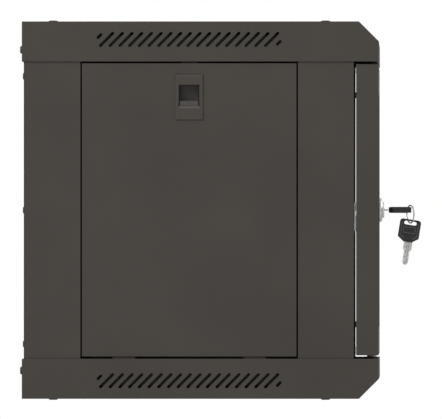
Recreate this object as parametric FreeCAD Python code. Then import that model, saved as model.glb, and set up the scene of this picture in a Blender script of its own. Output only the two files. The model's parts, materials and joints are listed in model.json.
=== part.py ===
import FreeCAD, Part
import math
import os
from FreeCAD import Vector

# Wall mount network cabinet, 19-inch, six rack units, glass door.
#
# Millimetres. X runs across the cabinet, Y from the glass door (-Y) to the wall (+Y), Z up.
# The origin is the middle of the wall-fixing holes, on the back face of the rear panel.
# Left and right are those of someone who faces the glass door: left is -X.
# Everything is folded sheet steel: two equal trays close the top and the bottom, two side
# frames and two front rails tie them together, and the door and the side panels come off.

os.makedirs("parts", exist_ok=True)

# ---- driving dimensions -------------------------------------------------------------------
WIDTH = 550.0
DEPTH = 350.0
HEIGHT = 370.0

# sheets and fits
TRAY_SHEET = 1.5
FRAME_SHEET = 1.2
PANEL_SHEET = 1.0
SKIN_GAP = 0.4            # between a tray's flanges and what they cover
THREAD_FIT = 0.05         # radial, a screw in its own hole
HOLE_FIT = 0.4            # radial, a screw through a clearance hole
RUN_FIT = 0.06            # radial, a pin or a plug that turns
SLIDE_FIT = 0.3           # beside a moulding that slides
FACE_FIT = 0.1            # between flat faces that slide on each other
SMALL_SIDES = 8           # flats that stand for the round of small fasteners

# trays
FLANGE_HEIGHT = 39.3
CHAMFER = 19.5
LIP_RETURN = 21.6         # the front lip's flange, folded back towards the frame
KNOCKOUT_LENGTH = 220.0
KNOCKOUT_WIDTH = 44.0
KNOCKOUT_SLOT = 1.6
KNOCKOUT_BRIDGE = 6.0
KNOCKOUT_INSET = 52.0     # its middle, from the rear panel
KNOCKOUT_SIDES = 12       # flats round each of its ends

# louvre slots in the trays' side flanges
SLOT_COUNT = 18
SLOT_SIDES = 3            # flats round each end of a slot
SLOT_PITCH = 9.52
SLOT_WIDTH = 2.8
SLOT_RUN = 12.25          # between the end centres, along Y and along Z
SLOT_END_RUN = 3.0        # the same, for the short slot at each end of the row
SLOT_END_SHIFT = 2.5      # how far the short slot is pulled in along the row
SLOT_END_RISE = 3.3       # and how far it is moved up or down
VENT_DROP = 17.75         # the row's middle, below the top of the tray
VENT_MARGIN = 2.0         # the side frame's window beyond the slots

# fan grille
GRILLE_RADIUS = 55.0
GRILLE_PITCH = 11.0
GRILLE_SLOT = 5.5
GRILLE_WEB = 6.0
FAN_SPACING = 105.0
FAN_HOLE = 2.2

# side frames
POST_REAR = 55.6          # width of the rear post, seen from the side
POST_FRONT = 54.7         # width of the front post
FRONT_SPACE = 24.6        # from the front of the trays to the frames' front face
OPENING_LIFT = 1.3        # the side opening's edge, behind the tray's flange
REAR_FLANGE = 15.0
FRONT_FLANGE = 30.0
FLANGE_HEM = 12.0
TAB_LENGTH = 24.0
TAB_WIDTH = 20.0

# front rails
RAIL_DROP = 8.2           # the front opening's edge, inside the tray's flange edge
RAIL_LEG = 12.0

# screws: head radius, head height, shank radius
CASE_SCREW = (4.4, 1.1, 2.4)
CASE_SCREW_INSET = 11.1   # from the side frame's outer face
CASE_SCREW_REAR = 28.7    # from the rear panel's back face
CASE_SCREW_FRONT = 27.7   # from the frames' front face
WALL_SCREW = (3.8, 2.0, 2.0)
WALL_SCREW_INSET = 9.1
WALL_SCREW_DROP = 27.7    # below the top of the tray
BACK_SCREW = (3.25, 1.15, 1.9)
BACK_SCREW_INSET = 8.1
BACK_SCREW_DROP = 14.4    # inside the tray's flange edge
RAIL_SCREW = (4.0, 1.6, 2.0)
RAIL_SCREW_INSET = 15.1
RAIL_SCREW_DROP = (12.0, 32.0)
SCREW_GRIP = 7.0          # shank length beyond the head

# wall fixing
FIX_SPACING_X = 400.0
FIX_SPACING_Z = 230.0
FIX_HOLE = 4.5

# depth rails and 19-inch rails
DEPTH_SHEET = 1.5
DEPTH_LEG = 24.0          # tall enough to stand behind the vents
DEPTH_LIFT = 1.0          # flat leg above the side opening's edge
DEPTH_STAND = 6.9         # upright leg, inboard of the side frame and the panel's hooks
FOOT_LENGTH = 36.0
STUD = (2.5, 8.0)         # radius and length
STUD_INSET = 19.6         # from the end of a depth rail
STUD_RISE = 6.5
NUT_SMALL = (4.0, 4.0)    # half the width across flats, and height
RACK_SHEET = 1.5
RACK_ROOM = 46.9          # from a side frame to the 450 mm opening between the rails
RACK_FLANGE = 25.0
RACK_LEG = 26.0
RACK_SETBACK = 35.5       # behind the frames' front face
RACK_UNIT = 44.45
RACK_UNITS = 6
RACK_HOLES = (6.35, 22.225, 38.1)   # heights of the square holes in one rack unit
RACK_HOLE_INSET = 7.55    # from the opening's edge, so that the two rows are 465.1 mm apart
RACK_HOLE_HALF = 4.75
RACK_TRAVEL = 150.0
BOLT = (3.0, 5.0, 3.0)    # shank radius, head radius, head height
BOLT_INSET = 14.0         # behind the 19-inch rail's front face
BOLT_OVERHANG = 2.0
NUT_LARGE = (5.0, 4.0)

# door
DOOR_THICK = 22.0
DOOR_GAP = 2.3            # behind the door
DOOR_SIDE_GAP = 2.0       # from the door's end to the outside of the tray
DOOR_TOP_GAP = 2.6
DOOR_BOTTOM_GAP = 3.3
DOOR_LIP = 10.0
DOOR_STILE = 48.0
DOOR_RAIL = 26.7
WINDOW_CORNER = 6.0
GLASS_THICK = 4.0
GLASS_LAP = 6.0
SEAL_THICK = 2.0
SEAL_WIDTH = 5.0
CLAMP_SHEET = 1.2
CLAMP_WIDTH = 16.0
CLAMP_FOOT = 9.0
CLAMP_LAP = 5.0
CLAMP_STUD = 1.75
CLAMP_NUT = (3.25, 2.6)
CLAMP_CORNER = (91.0, 62.0)   # clamps from the corners of the glass, along X and along Z

# hinge
HINGE_INSET = 7.5         # from the door's end
HINGE_DEEP = 14.0         # in front of the door's back
HINGE_PIN = 3.0
PIN_HEAD = 4.5
PIN_HEAD_THICK = 2.0
PIN_POINT = 6.0           # the lower pin's length inside the door
PIN_CHAMFER = 0.8
WASHER_RADIUS = 5.0
BRACKET_HALF = 6.0
EAR_SHEET = 1.5
EAR_DROP = 15.1           # the bracket's upper ear, below the door's top edge
EAR_SPACE = 28.0          # between the two ears
PIN_REACH = 1.8           # the upper pin's point, above the tray's folded lip
PIN_TAIL = 12.0           # the upper pin's grip, below the lower ear
PIN_GRIP = 19.0
COLLAR = (4.6, 2.0)
COLLAR_DROP = 10.0        # below the upper ear
SPRING_TURNS = 4
SPRING_SIDES = 12         # straight runs in each turn
SPRING_WIRE = 0.8
SPRING_RADIUS = 3.9

# lock
LOCK_INSET = 27.0         # from the door's end
LOCK_Z = 0.3
ROSETTE = (11.7, 3.8)     # radius and height of the lock's front collar
BOSS = (7.7, 5.6)
LOCK_EDGE = 1.4
LOCK_BODY = 9.5
LOCK_LENGTH = 16.3        # behind the door's front face
LOCK_NUT = (12.0, 4.0)
PLUG = 5.5
PLUG_SINK = 0.4
KEYWAY_FIT = (0.45, 0.3)  # beside and above the blade
KEYWAY_SPARE = 1.0        # beyond the blade's point
CAM_THICK = 2.0
CAM_LENGTH = 20.0
CAM_WIDTH = 8.6
CAM_SQUARE = 3.0
CAM_HEAD = (4.0, 1.8, 1.6)
CAM_SCREW_GRIP = 2.8

# striker, a hook that the cam swings up into
STRIKER_OFFSET = 12.0     # from the lock's axis
STRIKER_SHEET = 1.5
STRIKER_TOP = 7.2         # these heights are from the lock's axis
STRIKER_BOTTOM = 20.8
STRIKER_MOUTH = 5.6
STRIKER_HEAD = 4.0
STRIKER_STEM = 3.0
STRIKER_FOOT = 12.0
STRIKER_SHELF = 3.5
STRIKER_NECK = 1.4
STRIKER_REACH = 12.5
HOOK_WIDTH = 3.0
RIVET = (1.6, 3.0, 0.7)   # shank radius, head radius, head height
RIVET_INSET = 5.0

# buffers: radius, height, inset from the door's end, drop from the tray's flange edge
FRAME_BUFFER = (3.5, 2.0, 4.0, 8.3)
DOOR_BUFFER = (2.95, 1.7, 5.0, 33.4)

# keys
HEAD_LENGTH = 22.2
HEAD_SIDE = 17.8
HEAD_WIDTH = 20.8
HEAD_THICK = 5.5
HEAD_CORNER = 3.0
HEAD_WEB = 1.8
HEAD_SLOT = (12.3, 3.5)
HEAD_PANEL = (13.4, 7.5, 0.5)     # width, length and depth of the plain recess
PANEL_STEP = 1.8          # from the head's slot to the recess
BLADE_LENGTH = 22.9
BLADE_ROOT = 8.0          # length moulded into the head
BLADE_THICK = 1.7
BLADE_STEP = 1.5
BLADE_POINT = 3.0
BLADE_TAPER = 2.0
SHOULDER_WIDTH = 8.5
SHOULDER_LENGTH = 7.5
BLADE_WIDTH = 6.2
KEY_STANDOFF = 4.4        # between the lock's nose and the head of the inserted key

# key ring
RING_OUT = 9.3
RING_IN = 8.2
RING_THICK = 1.2
RING_TURN = 67.0          # angle between the ring's plane and the side of the cabinet
RING_SHIFT = 3.0          # towards the left, so that one side drops through the slot
HANG_GAP = 0.35
SPARE_GAP = 0.55
SPARE_TILT = 9.2

# side panels
PANEL_GAP_REAR = 1.4      # inside the posts
PANEL_GAP_FRONT = 1.5
PANEL_GAP_TOP = 1.7       # inside the trays' flange edges
PANEL_GAP_BOTTOM = 2.2
PANEL_RETURN = 12.0
HOOK_INSET = 30.0
HOOK_LENGTH = 22.0
HOOK_REACH = 9.5

# slide latch in each side panel, measured down from the panel's top edge
LATCH_HALF = 13.95
LATCH_DROP = 10.95
LATCH_HEIGHT = 44.85
LATCH_PROUD = 1.6
LATCH_BEVEL = 0.9
LATCH_BODY_INSET = 2.0
LATCH_DEPTH = 14.0
LATCH_WALL = 2.4
LATCH_RAIL = 1.4          # the ledges behind the slider
POCKET_HALF = 10.2
POCKET_DROP = 21.1
POCKET_HEIGHT = 20.6
POCKET_SLOPE = 2.5
GRIP = 4.8
GRIP_SINK = 0.4
TONGUE_HALF = 8.0
TONGUE_THICK = 1.5
TONGUE_RISE = 1.2         # above the panel's top edge, withdrawn
SLIDER_FLOOR = 1.5

# ---- places worked out from them ----------------------------------------------------------
HALF_WIDTH = WIDTH / 2.0
HALF_HEIGHT = HEIGHT / 2.0
TRAY_REAR = TRAY_SHEET + SKIN_GAP
TRAY_FRONT = TRAY_REAR - DEPTH
TRAY_INNER_Z = HALF_HEIGHT - TRAY_SHEET
FLANGE_EDGE = HALF_HEIGHT - FLANGE_HEIGHT
SKIN = HALF_WIDTH - TRAY_SHEET - SKIN_GAP      # outer face of side frames and side panels
SKIN_IN = SKIN - FRAME_SHEET
PANEL_Y = -FRAME_SHEET                         # front face of the rear panel
FRAME_FRONT = TRAY_FRONT + FRONT_SPACE         # front face of the side frames
OPENING_REAR = -POST_REAR
OPENING_FRONT = FRAME_FRONT + POST_FRONT
OPENING_HALF = FLANGE_EDGE + OPENING_LIFT
PANEL_REAR = OPENING_REAR - PANEL_GAP_REAR
PANEL_FRONT = OPENING_FRONT + PANEL_GAP_FRONT
PANEL_TOP = FLANGE_EDGE - PANEL_GAP_TOP
PANEL_BOTTOM = -FLANGE_EDGE + PANEL_GAP_BOTTOM
MIDDLE_Y = (PANEL_REAR + PANEL_FRONT) / 2.0    # vents, grille and latch line up on it
VENT_Z = HALF_HEIGHT - VENT_DROP
KNOCKOUT_Y = -KNOCKOUT_INSET
RAIL_EDGE = FLANGE_EDGE - RAIL_DROP
CASE_SCREW_X = SKIN - CASE_SCREW_INSET
CASE_SCREW_Y = (-CASE_SCREW_REAR, FRAME_FRONT + CASE_SCREW_FRONT)
WALL_SCREW_X = (WALL_SCREW_INSET - SKIN, 0.0, SKIN - WALL_SCREW_INSET)
WALL_SCREW_Z = HALF_HEIGHT - WALL_SCREW_DROP
BACK_SCREW_X = SKIN - BACK_SCREW_INSET
BACK_SCREW_Z = (BACK_SCREW_DROP - FLANGE_EDGE, 0.0, FLANGE_EDGE - BACK_SCREW_DROP)
RAIL_SCREW_X = SKIN - RAIL_SCREW_INSET
RAIL_SCREW_Z = tuple(TRAY_INNER_Z - drop for drop in RAIL_SCREW_DROP)
DEPTH_REAR = PANEL_Y - FRAME_SHEET             # the two ends of the depth rails
DEPTH_FRONT = FRAME_FRONT + 2.0 * FRAME_SHEET
DEPTH_OUT = SKIN_IN - DEPTH_STAND
RACK_HALF = SKIN_IN - RACK_ROOM                # half the opening between the 19-inch rails
DEPTH_IN = RACK_HALF + 1.0
RAIL_Z = OPENING_HALF + DEPTH_LIFT
STUD_Y = (DEPTH_REAR - STUD_INSET, DEPTH_FRONT + STUD_INSET)
STUD_Z = RAIL_Z + STUD_RISE
RACK_FRONT = FRAME_FRONT + RACK_SETBACK
RACK_OUT = RACK_HALF + RACK_FLANGE
RACK_END = RAIL_Z - FACE_FIT
RACK_BOLT_Y = RACK_FRONT + BOLT_INSET
RACK_BOLT_X = RACK_OUT - RACK_FLANGE / 2.0
DOOR_BACK = FRAME_FRONT - DOOR_GAP
DOOR_FRONT = DOOR_BACK - DOOR_THICK
DOOR_INNER = DOOR_FRONT + FRAME_SHEET
DOOR_HALF_WIDTH = HALF_WIDTH - DOOR_SIDE_GAP
DOOR_TOP = FLANGE_EDGE - DOOR_TOP_GAP
DOOR_BOTTOM = -FLANGE_EDGE + DOOR_BOTTOM_GAP
DOOR_MID = (DOOR_TOP + DOOR_BOTTOM) / 2.0
WINDOW_HALF_WIDTH = DOOR_HALF_WIDTH - DOOR_STILE
WINDOW_HALF_HEIGHT = DOOR_TOP - DOOR_MID - DOOR_RAIL
GLASS_FRONT = DOOR_INNER + SEAL_THICK
GLASS_BACK = GLASS_FRONT + GLASS_THICK
GLASS_HALF_WIDTH = WINDOW_HALF_WIDTH + GLASS_LAP
GLASS_HALF_HEIGHT = WINDOW_HALF_HEIGHT + GLASS_LAP
CLAMP_X = GLASS_HALF_WIDTH - CLAMP_CORNER[0]
CLAMP_Z = GLASS_HALF_HEIGHT - CLAMP_CORNER[1]
HINGE_X = DOOR_HALF_WIDTH - HINGE_INSET
HINGE_Y = DOOR_BACK - HINGE_DEEP
EAR_HIGH = DOOR_TOP - EAR_DROP
EAR_LOW = EAR_HIGH - EAR_SPACE
PIN_TIP = FLANGE_EDGE + TRAY_SHEET + PIN_REACH
PIN_FOOT = EAR_LOW - PIN_TAIL
COLLAR_Z = EAR_HIGH - COLLAR_DROP
LOCK_X = LOCK_INSET - DOOR_HALF_WIDTH
LOCK_BACK = DOOR_FRONT + LOCK_LENGTH
LOCK_NOSE = DOOR_FRONT - BOSS[1]
STRIKER_X = LOCK_X - STRIKER_OFFSET
KEY_END = LOCK_NOSE - KEY_STANDOFF - HEAD_LENGTH
RING_Y = KEY_END + HEAD_WEB / 2.0
RING_X = LOCK_X - RING_SHIFT
LATCH_TOP = PANEL_TOP - LATCH_DROP
LATCH_BOTTOM = LATCH_TOP - LATCH_HEIGHT
POCKET_TOP = PANEL_TOP - POCKET_DROP
POCKET_BOTTOM = POCKET_TOP - POCKET_HEIGHT
TONGUE_TOP = PANEL_TOP + TONGUE_RISE


def ring_drop():
    """How far the ring's centre hangs below the top face of the head it runs through."""
    turn = math.radians(RING_TURN)
    along = (HEAD_WEB / 2.0 + RING_THICK / 2.0 * math.sin(turn)) / math.cos(turn)
    return math.sqrt((RING_IN - HANG_GAP) ** 2 - along ** 2)


RING_Z = LOCK_Z + HEAD_THICK / 2.0 - ring_drop()


# ---- small helpers ------------------------------------------------------------------------
def block(x, y, z):
    """A box from three (low, high) pairs, given in either order."""
    lows = [min(pair) for pair in (x, y, z)]
    sizes = [abs(pair[1] - pair[0]) for pair in (x, y, z)]
    return Part.makeBox(*sizes, Vector(*lows))


def rod(radius, length, start, direction):
    return Part.makeCylinder(radius, length, Vector(*start), Vector(*direction))


def small_rod(radius, length, start, direction):
    """A small round bar or hole, drawn with flats so that what repeats stays light."""
    axis = Vector(*direction)
    side = axis.cross(Vector(0, 0, 1) if abs(axis.z) < 0.5 else Vector(1, 0, 0)).normalize()
    other = axis.cross(side)
    step = 2.0 * math.pi / SMALL_SIDES
    corners = [Vector(*start) + side * (radius * math.cos(turn * step))
               + other * (radius * math.sin(turn * step)) for turn in range(SMALL_SIDES)]
    return Part.Face(Part.makePolygon(corners + corners[:1])).extrude(axis * length)


def fuse(shapes):
    """One clean solid, or one compound where the shapes don't touch."""
    shapes = list(shapes)
    joined = shapes[0] if len(shapes) == 1 else shapes[0].fuse(shapes[1:])
    return joined.removeSplitter()


def group(shapes):
    return Part.makeCompound(list(shapes))


def prism(points, depth):
    """Extrude a closed outline of points along a vector."""
    outline = Part.makePolygon([Vector(*p) for p in points] + [Vector(*points[0])])
    return Part.Face(outline).extrude(Vector(*depth))


def stadium(start, end, half, depth, sides):
    """A slot: two end centres, half its width, the vector it is cut along, and how many
    flats stand for the round of each end."""
    start, end, depth = Vector(*start), Vector(*end), Vector(*depth)
    along = (end - start).normalize()
    across = depth.cross(along).normalize() * half
    along = along * half
    turns = [math.pi * step / sides for step in range(sides + 1)]
    near = [start + across * math.cos(t) - along * math.sin(t) for t in turns]
    far = [end - across * math.cos(t) + along * math.sin(t) for t in turns]
    return Part.Face(Part.makePolygon(near + far + near[:1])).extrude(depth)


def rounded_plate(half_x, half_z, corner, y, depth, mid_z):
    """A plate with rounded corners, upright and square to Y."""
    plate = block((-half_x, half_x), (y, y + depth), (mid_z - half_z, mid_z + half_z))
    upright = [edge for edge in plate.Edges
               if abs(edge.tangentAt(edge.FirstParameter).y) > 0.99]
    return plate.makeFillet(corner, upright)


def mirror_x(shape):
    return shape.mirror(Vector(0, 0, 0), Vector(1, 0, 0))


def mirror_z(shape):
    return shape.mirror(Vector(0, 0, 0), Vector(0, 0, 1))


def half_turn(shape):
    """The same piece turned over about the Y axis."""
    turned = shape.copy()
    turned.rotate(Vector(0, 0, 0), Vector(0, 1, 0), 180)
    return turned


def screw(size, place, inward, grip=SCREW_GRIP):
    """A low-headed screw. place is the middle of the face under its head."""
    head, height, shank = size
    back = [-part for part in inward]
    crown = small_rod(head, height, place, back)
    return crown.fuse(small_rod(shank - THREAD_FIT, grip, place, inward)).removeSplitter()


def hexagon(half_flats, height, place, direction):
    """A nut blank: half its width across the flats, its height, its seat and its axis."""
    axis = Vector(*direction)
    side = axis.cross(Vector(0, 0, 1) if abs(axis.z) < 0.5 else Vector(1, 0, 0)).normalize()
    other = axis.cross(side)
    reach = half_flats / math.cos(math.pi / 6.0)
    corners = [Vector(*place) + side * (reach * math.cos(step * math.pi / 3.0))
               + other * (reach * math.sin(step * math.pi / 3.0)) for step in range(6)]
    return Part.Face(Part.makePolygon(corners + corners[:1])).extrude(axis * height)


def nut(half_flats, height, bore, place, direction):
    return hexagon(half_flats, height, place, direction).cut(
        small_rod(bore + THREAD_FIT, height, place, direction))


# ---- trays --------------------------------------------------------------------------------
def tray_outline(inset):
    """Side view of a tray, closed at its open side, moved in by the sheet's thickness."""
    rear, front = TRAY_REAR - inset, TRAY_FRONT + inset
    top = HALF_HEIGHT - inset
    corner = CHAMFER - inset * (2.0 - math.sqrt(2.0))
    return [(rear, FLANGE_EDGE), (rear, top), (front + corner, top),
            (front, top - corner), (front, FLANGE_EDGE)]


def louvre_row(side):
    """Slanted slots that rise to the right for whoever faces that side of the cabinet."""
    start_x = side * (HALF_WIDTH + 1.0)
    depth = (-side * (TRAY_SHEET + 2.0), 0, 0)
    places = [((step - (SLOT_COUNT - 1) / 2.0) * SLOT_PITCH, 0.0, SLOT_RUN)
              for step in range(SLOT_COUNT)]
    end = (SLOT_COUNT + 1) / 2.0 * SLOT_PITCH - SLOT_END_SHIFT
    places += [(-end, SLOT_END_RISE, SLOT_END_RUN), (end, -SLOT_END_RISE, SLOT_END_RUN)]
    for along, rise, run in places:
        y, z = MIDDLE_Y + side * along, VENT_Z + rise
        yield stadium((start_x, y - side * run / 2.0, z - run / 2.0),
                      (start_x, y + side * run / 2.0, z + run / 2.0), SLOT_WIDTH / 2.0, depth,
                      SLOT_SIDES)


def grille(z, depth):
    """Straight slots that fill a circle, each row split by a web in the middle."""
    rows = int(GRILLE_RADIUS / GRILLE_PITCH)
    for row in range(-rows, rows + 1):
        y = row * GRILLE_PITCH
        reach = math.sqrt(GRILLE_RADIUS ** 2 - y ** 2) - GRILLE_SLOT / 2.0
        near = (GRILLE_WEB + GRILLE_SLOT) / 2.0
        for side in (-1, 1):
            if reach > near + GRILLE_SLOT:
                yield stadium((side * near, MIDDLE_Y + y, z), (side * reach, MIDDLE_Y + y, z),
                              GRILLE_SLOT / 2.0, (0, 0, depth), SLOT_SIDES)


def knockout(z, depth):
    """A slotted outline with four bridges, to be broken out for cables."""
    ends = KNOCKOUT_LENGTH / 2.0 - KNOCKOUT_WIDTH / 2.0
    outer, inner = (stadium((-ends, KNOCKOUT_Y, z), (ends, KNOCKOUT_Y, z), half, (0, 0, depth),
                            KNOCKOUT_SIDES)
                    for half in (KNOCKOUT_WIDTH / 2.0, KNOCKOUT_WIDTH / 2.0 - KNOCKOUT_SLOT))
    half = KNOCKOUT_BRIDGE / 2.0
    reach = KNOCKOUT_LENGTH / 2.0 + 1.0
    bridges = [block((-reach, reach), (KNOCKOUT_Y - half, KNOCKOUT_Y + half), (z, z + depth)),
               block((-half, half), (KNOCKOUT_Y - reach, KNOCKOUT_Y + reach), (z, z + depth))]
    return outer.cut([inner] + bridges)


def tray():
    """The top tray: a folded lid with a chamfered front, vents, grille and knock-out."""
    skin = prism([(-HALF_WIDTH, y, z) for y, z in tray_outline(0.0)], (WIDTH, 0, 0))
    inner_x = HALF_WIDTH - TRAY_SHEET
    inner = prism([(-inner_x, y, z) for y, z in tray_outline(TRAY_SHEET)], (2 * inner_x, 0, 0))
    lip_back = TRAY_FRONT + TRAY_SHEET + LIP_RETURN
    lip = block((-inner_x, inner_x), (TRAY_FRONT + TRAY_SHEET, lip_back),
                (FLANGE_EDGE, FLANGE_EDGE + TRAY_SHEET))
    shell = fuse([skin.cut(inner), lip])
    below, through = TRAY_INNER_Z - 1.0, TRAY_SHEET + 2.0
    cuts = [slot for side in (-1, 1) for slot in louvre_row(side)]
    cuts += list(grille(below, through))
    cuts.append(knockout(below, through))
    cuts += [rod(FAN_HOLE, through, (x, MIDDLE_Y + y, below), (0, 0, 1))
             for x in (-FAN_SPACING / 2.0, FAN_SPACING / 2.0)
             for y in (-FAN_SPACING / 2.0, FAN_SPACING / 2.0)]
    cuts += [small_rod(CASE_SCREW[2] + HOLE_FIT, through, (x, y, below), (0, 0, 1))
             for x in (-CASE_SCREW_X, CASE_SCREW_X) for y in CASE_SCREW_Y]
    cuts += [small_rod(WALL_SCREW[2] + HOLE_FIT, TRAY_REAR + 1.0, (x, 0, WALL_SCREW_Z), (0, 1, 0))
             for x in WALL_SCREW_X]
    cuts += [rod(HINGE_PIN + RUN_FIT, 4.0, (x, HINGE_Y, FLANGE_EDGE - 1.0), (0, 0, 1))
             for x in (-HINGE_X, HINGE_X)]
    return shell.cut(cuts)


def case_screws():
    return group(screw(CASE_SCREW, (x, y, HALF_HEIGHT), (0, 0, -1))
                 for x in (-CASE_SCREW_X, CASE_SCREW_X) for y in CASE_SCREW_Y)


def rear_flange_screws():
    return group(screw(WALL_SCREW, (x, TRAY_REAR, z), (0, -1, 0))
                 for x in WALL_SCREW_X for z in (-WALL_SCREW_Z, WALL_SCREW_Z))


# ---- rear panel, side frames and front rails ----------------------------------------------
def rear_panel():
    plate = block((-SKIN, SKIN), (PANEL_Y, 0), (-TRAY_INNER_Z, TRAY_INNER_Z))
    through = FRAME_SHEET + 2.0
    cuts = [rod(FIX_HOLE, through, (x, 1.0, z), (0, -1, 0))
            for x in (-FIX_SPACING_X / 2.0, FIX_SPACING_X / 2.0)
            for z in (-FIX_SPACING_Z / 2.0, FIX_SPACING_Z / 2.0)]
    cuts += [small_rod(BACK_SCREW[2] + HOLE_FIT, through, (x, 1.0, z), (0, -1, 0))
             for x in (-BACK_SCREW_X, BACK_SCREW_X) for z in BACK_SCREW_Z]
    cuts += [small_rod(WALL_SCREW[2] + HOLE_FIT, through, (x, 1.0, z), (0, -1, 0))
             for x in WALL_SCREW_X for z in (-WALL_SCREW_Z, WALL_SCREW_Z)]
    return plate.cut(cuts)


def rear_panel_screws():
    return group(screw(BACK_SCREW, (x, 0, z), (0, -1, 0))
                 for x in (-BACK_SCREW_X, BACK_SCREW_X) for z in BACK_SCREW_Z)


def side_frame():
    """The right-hand side frame: a windowed sheet with folded front and rear flanges."""
    high = (-TRAY_INNER_Z, TRAY_INNER_Z)
    sheet = block((SKIN_IN, SKIN), (PANEL_Y, FRAME_FRONT), high)
    opening = block((SKIN_IN - 1, SKIN + 1), (OPENING_REAR, OPENING_FRONT),
                    (-OPENING_HALF, OPENING_HALF))
    half_high = (SLOT_RUN + SLOT_WIDTH) / 2.0 + VENT_MARGIN
    half_long = (SLOT_COUNT + 1) / 2.0 * SLOT_PITCH + half_high
    windows = [block((SKIN_IN - 1, SKIN + 1), (MIDDLE_Y - half_long, MIDDLE_Y + half_long),
                     (side * VENT_Z - half_high, side * VENT_Z + half_high))
               for side in (-1, 1)]
    rear_y = PANEL_Y - FRAME_SHEET
    rear = block((SKIN - REAR_FLANGE, SKIN), (PANEL_Y, rear_y), high)
    front = block((SKIN - FRONT_FLANGE, SKIN), (FRAME_FRONT, FRAME_FRONT + FRAME_SHEET), high)
    hem = block((SKIN - FRONT_FLANGE, SKIN - FRONT_FLANGE + FRAME_SHEET),
                (FRAME_FRONT, FRAME_FRONT + FLANGE_HEM), (-RAIL_EDGE, RAIL_EDGE))
    tabs = [block((SKIN - TAB_WIDTH, SKIN), (y - TAB_LENGTH / 2.0, y + TAB_LENGTH / 2.0),
                  (side * TRAY_INNER_Z, side * (TRAY_INNER_Z - FRAME_SHEET)))
            for y in CASE_SCREW_Y for side in (-1, 1)]
    studs = [small_rod(STUD[0], STUD[1], (SKIN_IN, y, z), (-1, 0, 0))
             for y in STUD_Y for z in (-STUD_Z, STUD_Z)]
    body = fuse([sheet.cut([opening] + windows), rear, front, hem] + tabs + studs)
    cuts = [small_rod(CASE_SCREW[2], 2 * HEIGHT, (CASE_SCREW_X, y, -HEIGHT), (0, 0, 1))
            for y in CASE_SCREW_Y]
    cuts += [small_rod(BACK_SCREW[2], 4.0, (BACK_SCREW_X, 0, z), (0, -1, 0))
             for z in BACK_SCREW_Z]
    cuts += [small_rod(WALL_SCREW[2], 4.0, (WALL_SCREW_X[2], 0, z), (0, -1, 0))
             for z in (-WALL_SCREW_Z, WALL_SCREW_Z)]
    cuts += [small_rod(RAIL_SCREW[2] + HOLE_FIT, 4.0,
                       (RAIL_SCREW_X, FRAME_FRONT - 1.0, side * z), (0, 1, 0))
             for z in RAIL_SCREW_Z for side in (-1, 1)]
    return body.cut(cuts)


def left_side_frame():
    """The mirrored frame, drilled for the lock striker's rivets."""
    x = STRIKER_X + STRIKER_FOOT / 2.0
    return mirror_x(side_frame()).cut([small_rod(RIVET[0], 4.0, (x, FRAME_FRONT - 1.0, z),
                                                 (0, 1, 0)) for z in striker_rivet_heights()])


def front_rail():
    """The upper rail: it ties the side frames and edges the front opening."""
    back = FRAME_FRONT + FRAME_SHEET
    face = block((-SKIN_IN, SKIN_IN), (back, back + FRAME_SHEET), (RAIL_EDGE, TRAY_INNER_Z))
    leg_x = SKIN - FRONT_FLANGE
    leg = block((-leg_x, leg_x), (back, back + RAIL_LEG), (RAIL_EDGE, RAIL_EDGE + FRAME_SHEET))
    holes = [small_rod(RAIL_SCREW[2], 4.0, (x, back - 1.0, z), (0, 1, 0))
             for x in (-RAIL_SCREW_X, RAIL_SCREW_X) for z in RAIL_SCREW_Z]
    return fuse([face, leg]).cut(holes)


def front_rail_screws():
    return group(screw(RAIL_SCREW, (x, FRAME_FRONT, side * z), (0, 1, 0))
                 for x in (-RAIL_SCREW_X, RAIL_SCREW_X) for z in RAIL_SCREW_Z
                 for side in (-1, 1))


# ---- depth rails and 19-inch rails --------------------------------------------------------
def depth_rail():
    """The upper right depth rail: an angle that steps out to the side frame at both ends."""
    low, high = RAIL_Z, RAIL_Z + DEPTH_LEG
    inner_leg = DEPTH_OUT - DEPTH_SHEET
    flat = block((DEPTH_IN, DEPTH_OUT), (DEPTH_REAR, DEPTH_FRONT), (low, low + DEPTH_SHEET))
    upright = block((inner_leg, DEPTH_OUT),
                    (DEPTH_REAR - FOOT_LENGTH, DEPTH_FRONT + FOOT_LENGTH), (low, high))
    feet = []
    for start, way in ((DEPTH_REAR, -1), (DEPTH_FRONT, 1)):
        end = start + way * FOOT_LENGTH
        feet.append(block((DEPTH_IN, SKIN_IN), (start, end), (low, low + DEPTH_SHEET)))
        feet.append(block((SKIN_IN - DEPTH_SHEET, SKIN_IN), (start, end), (low, high)))
        feet.append(block((inner_leg, SKIN_IN), (end, end + way * DEPTH_SHEET), (low, high)))
    half = BOLT[0] + HOLE_FIT / 2.0
    slot = stadium((RACK_BOLT_X, RACK_BOLT_Y - SLIDE_FIT, low - 1.0),
                   (RACK_BOLT_X, RACK_BOLT_Y + RACK_TRAVEL + SLIDE_FIT, low - 1.0), half,
                   (0, 0, DEPTH_SHEET + 2.0), SLOT_SIDES)
    holes = [small_rod(STUD[0] + HOLE_FIT / 2.0, 4.0, (SKIN_IN + 1.0, y, STUD_Z), (-1, 0, 0))
             for y in STUD_Y]
    return fuse([flat, upright] + feet).cut([slot] + holes)


def depth_rail_nuts():
    seat = SKIN_IN - DEPTH_SHEET
    return group(nut(*NUT_SMALL, STUD[0], (side * seat, y, z), (-side, 0, 0))
                 for side in (-1, 1) for y in STUD_Y for z in (-STUD_Z, STUD_Z))


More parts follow.
